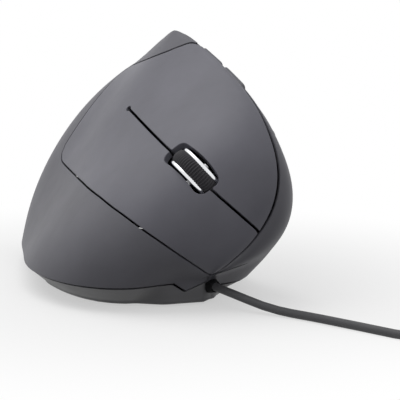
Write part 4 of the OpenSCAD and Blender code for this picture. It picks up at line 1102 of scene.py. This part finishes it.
def make_floor():
    """Pale floor with the object's shadow near it, which fades into plain white further out.
    It throws little light back up."""
    corners = [(x * FLOOR_SIZE, y * FLOOR_SIZE, 0) for x, y in ((-1, -1), (1, -1), (1, 1), (-1, 1))]
    mesh = bpy.data.meshes.new("floor")
    mesh.from_pydata(corners, [], [(0, 1, 2, 3)])
    floor = bpy.data.objects.new("floor", mesh)
    scene.collection.objects.link(floor)
    mat, tree, shader = new_material("floor")
    shader.inputs["Roughness"].default_value = 0.9
    shader.inputs["Specular IOR Level"].default_value = 0.1
    seen = light_path_mix(tree)
    tint = tree.nodes.new("ShaderNodeMixRGB")
    tint.inputs["Color1"].default_value = FLOOR_BOUNCE
    pale = ramp(tree, noise(tree, 3.0), *FLOOR_PALE)
    tree.links.new(seen, tint.inputs["Fac"])
    tree.links.new(pale, tint.inputs["Color2"])
    tree.links.new(tint.outputs["Color"], shader.inputs["Base Color"])
    coord = tree.nodes.new("ShaderNodeTexCoord")
    away = tree.nodes.new("ShaderNodeVectorMath")
    away.operation = "LENGTH"
    tree.links.new(coord.outputs["Object"], away.inputs[0])
    fade = tree.nodes.new("ShaderNodeMapRange")
    fade.interpolation_type = "SMOOTHSTEP"
    for name, value in FLOOR_FADE.items():
        fade.inputs[name].default_value = value
    tree.links.new(away.outputs["Value"], fade.inputs["Value"])
    share = tree.nodes.new("ShaderNodeMath")
    share.operation = "MULTIPLY"
    tree.links.new(fade.outputs["Result"], share.inputs[0])
    tree.links.new(seen, share.inputs[1])
    white = tree.nodes.new("ShaderNodeEmission")
    blend = tree.nodes.new("ShaderNodeMixShader")
    tree.links.new(share.outputs[0], blend.inputs["Fac"])
    tree.links.new(shader.outputs["BSDF"], blend.inputs[1])
    tree.links.new(white.outputs["Emission"], blend.inputs[2])
    tree.links.new(blend.outputs["Shader"], tree.nodes["Material Output"].inputs["Surface"])
    floor.data.materials.append(mat)


def make_world():
    world = bpy.data.worlds.new("surround")
    scene.world = world
    world.use_nodes = True
    tree = world.node_tree
    back = tree.nodes["Background"]
    back.inputs["Color"].default_value = (1, 1, 1, 1)
    strength = tree.nodes.new("ShaderNodeMapRange")
    strength.inputs["To Min"].default_value = WORLD_LIGHT
    strength.inputs["To Max"].default_value = 1.0
    tree.links.new(light_path_mix(tree), strength.inputs["Value"])
    tree.links.new(strength.outputs["Result"], back.inputs["Strength"])


def add_softbox(name, place, aim, size, power):
    data = bpy.data.lights.new(name, "AREA")
    data.shape = "SQUARE"
    data.size = size
    data.energy = power
    lamp = bpy.data.objects.new(name, data)
    scene.collection.objects.link(lamp)
    lamp.location = place
    lamp.rotation_euler = (Vector(place) - Vector(aim)).to_track_quat("Z", "Y").to_euler()


make_floor()
make_world()
add_softbox("overhead_light", LAMP_PLACE, LAMP_AIM, LAMP_SIZE, LAMP_POWER)
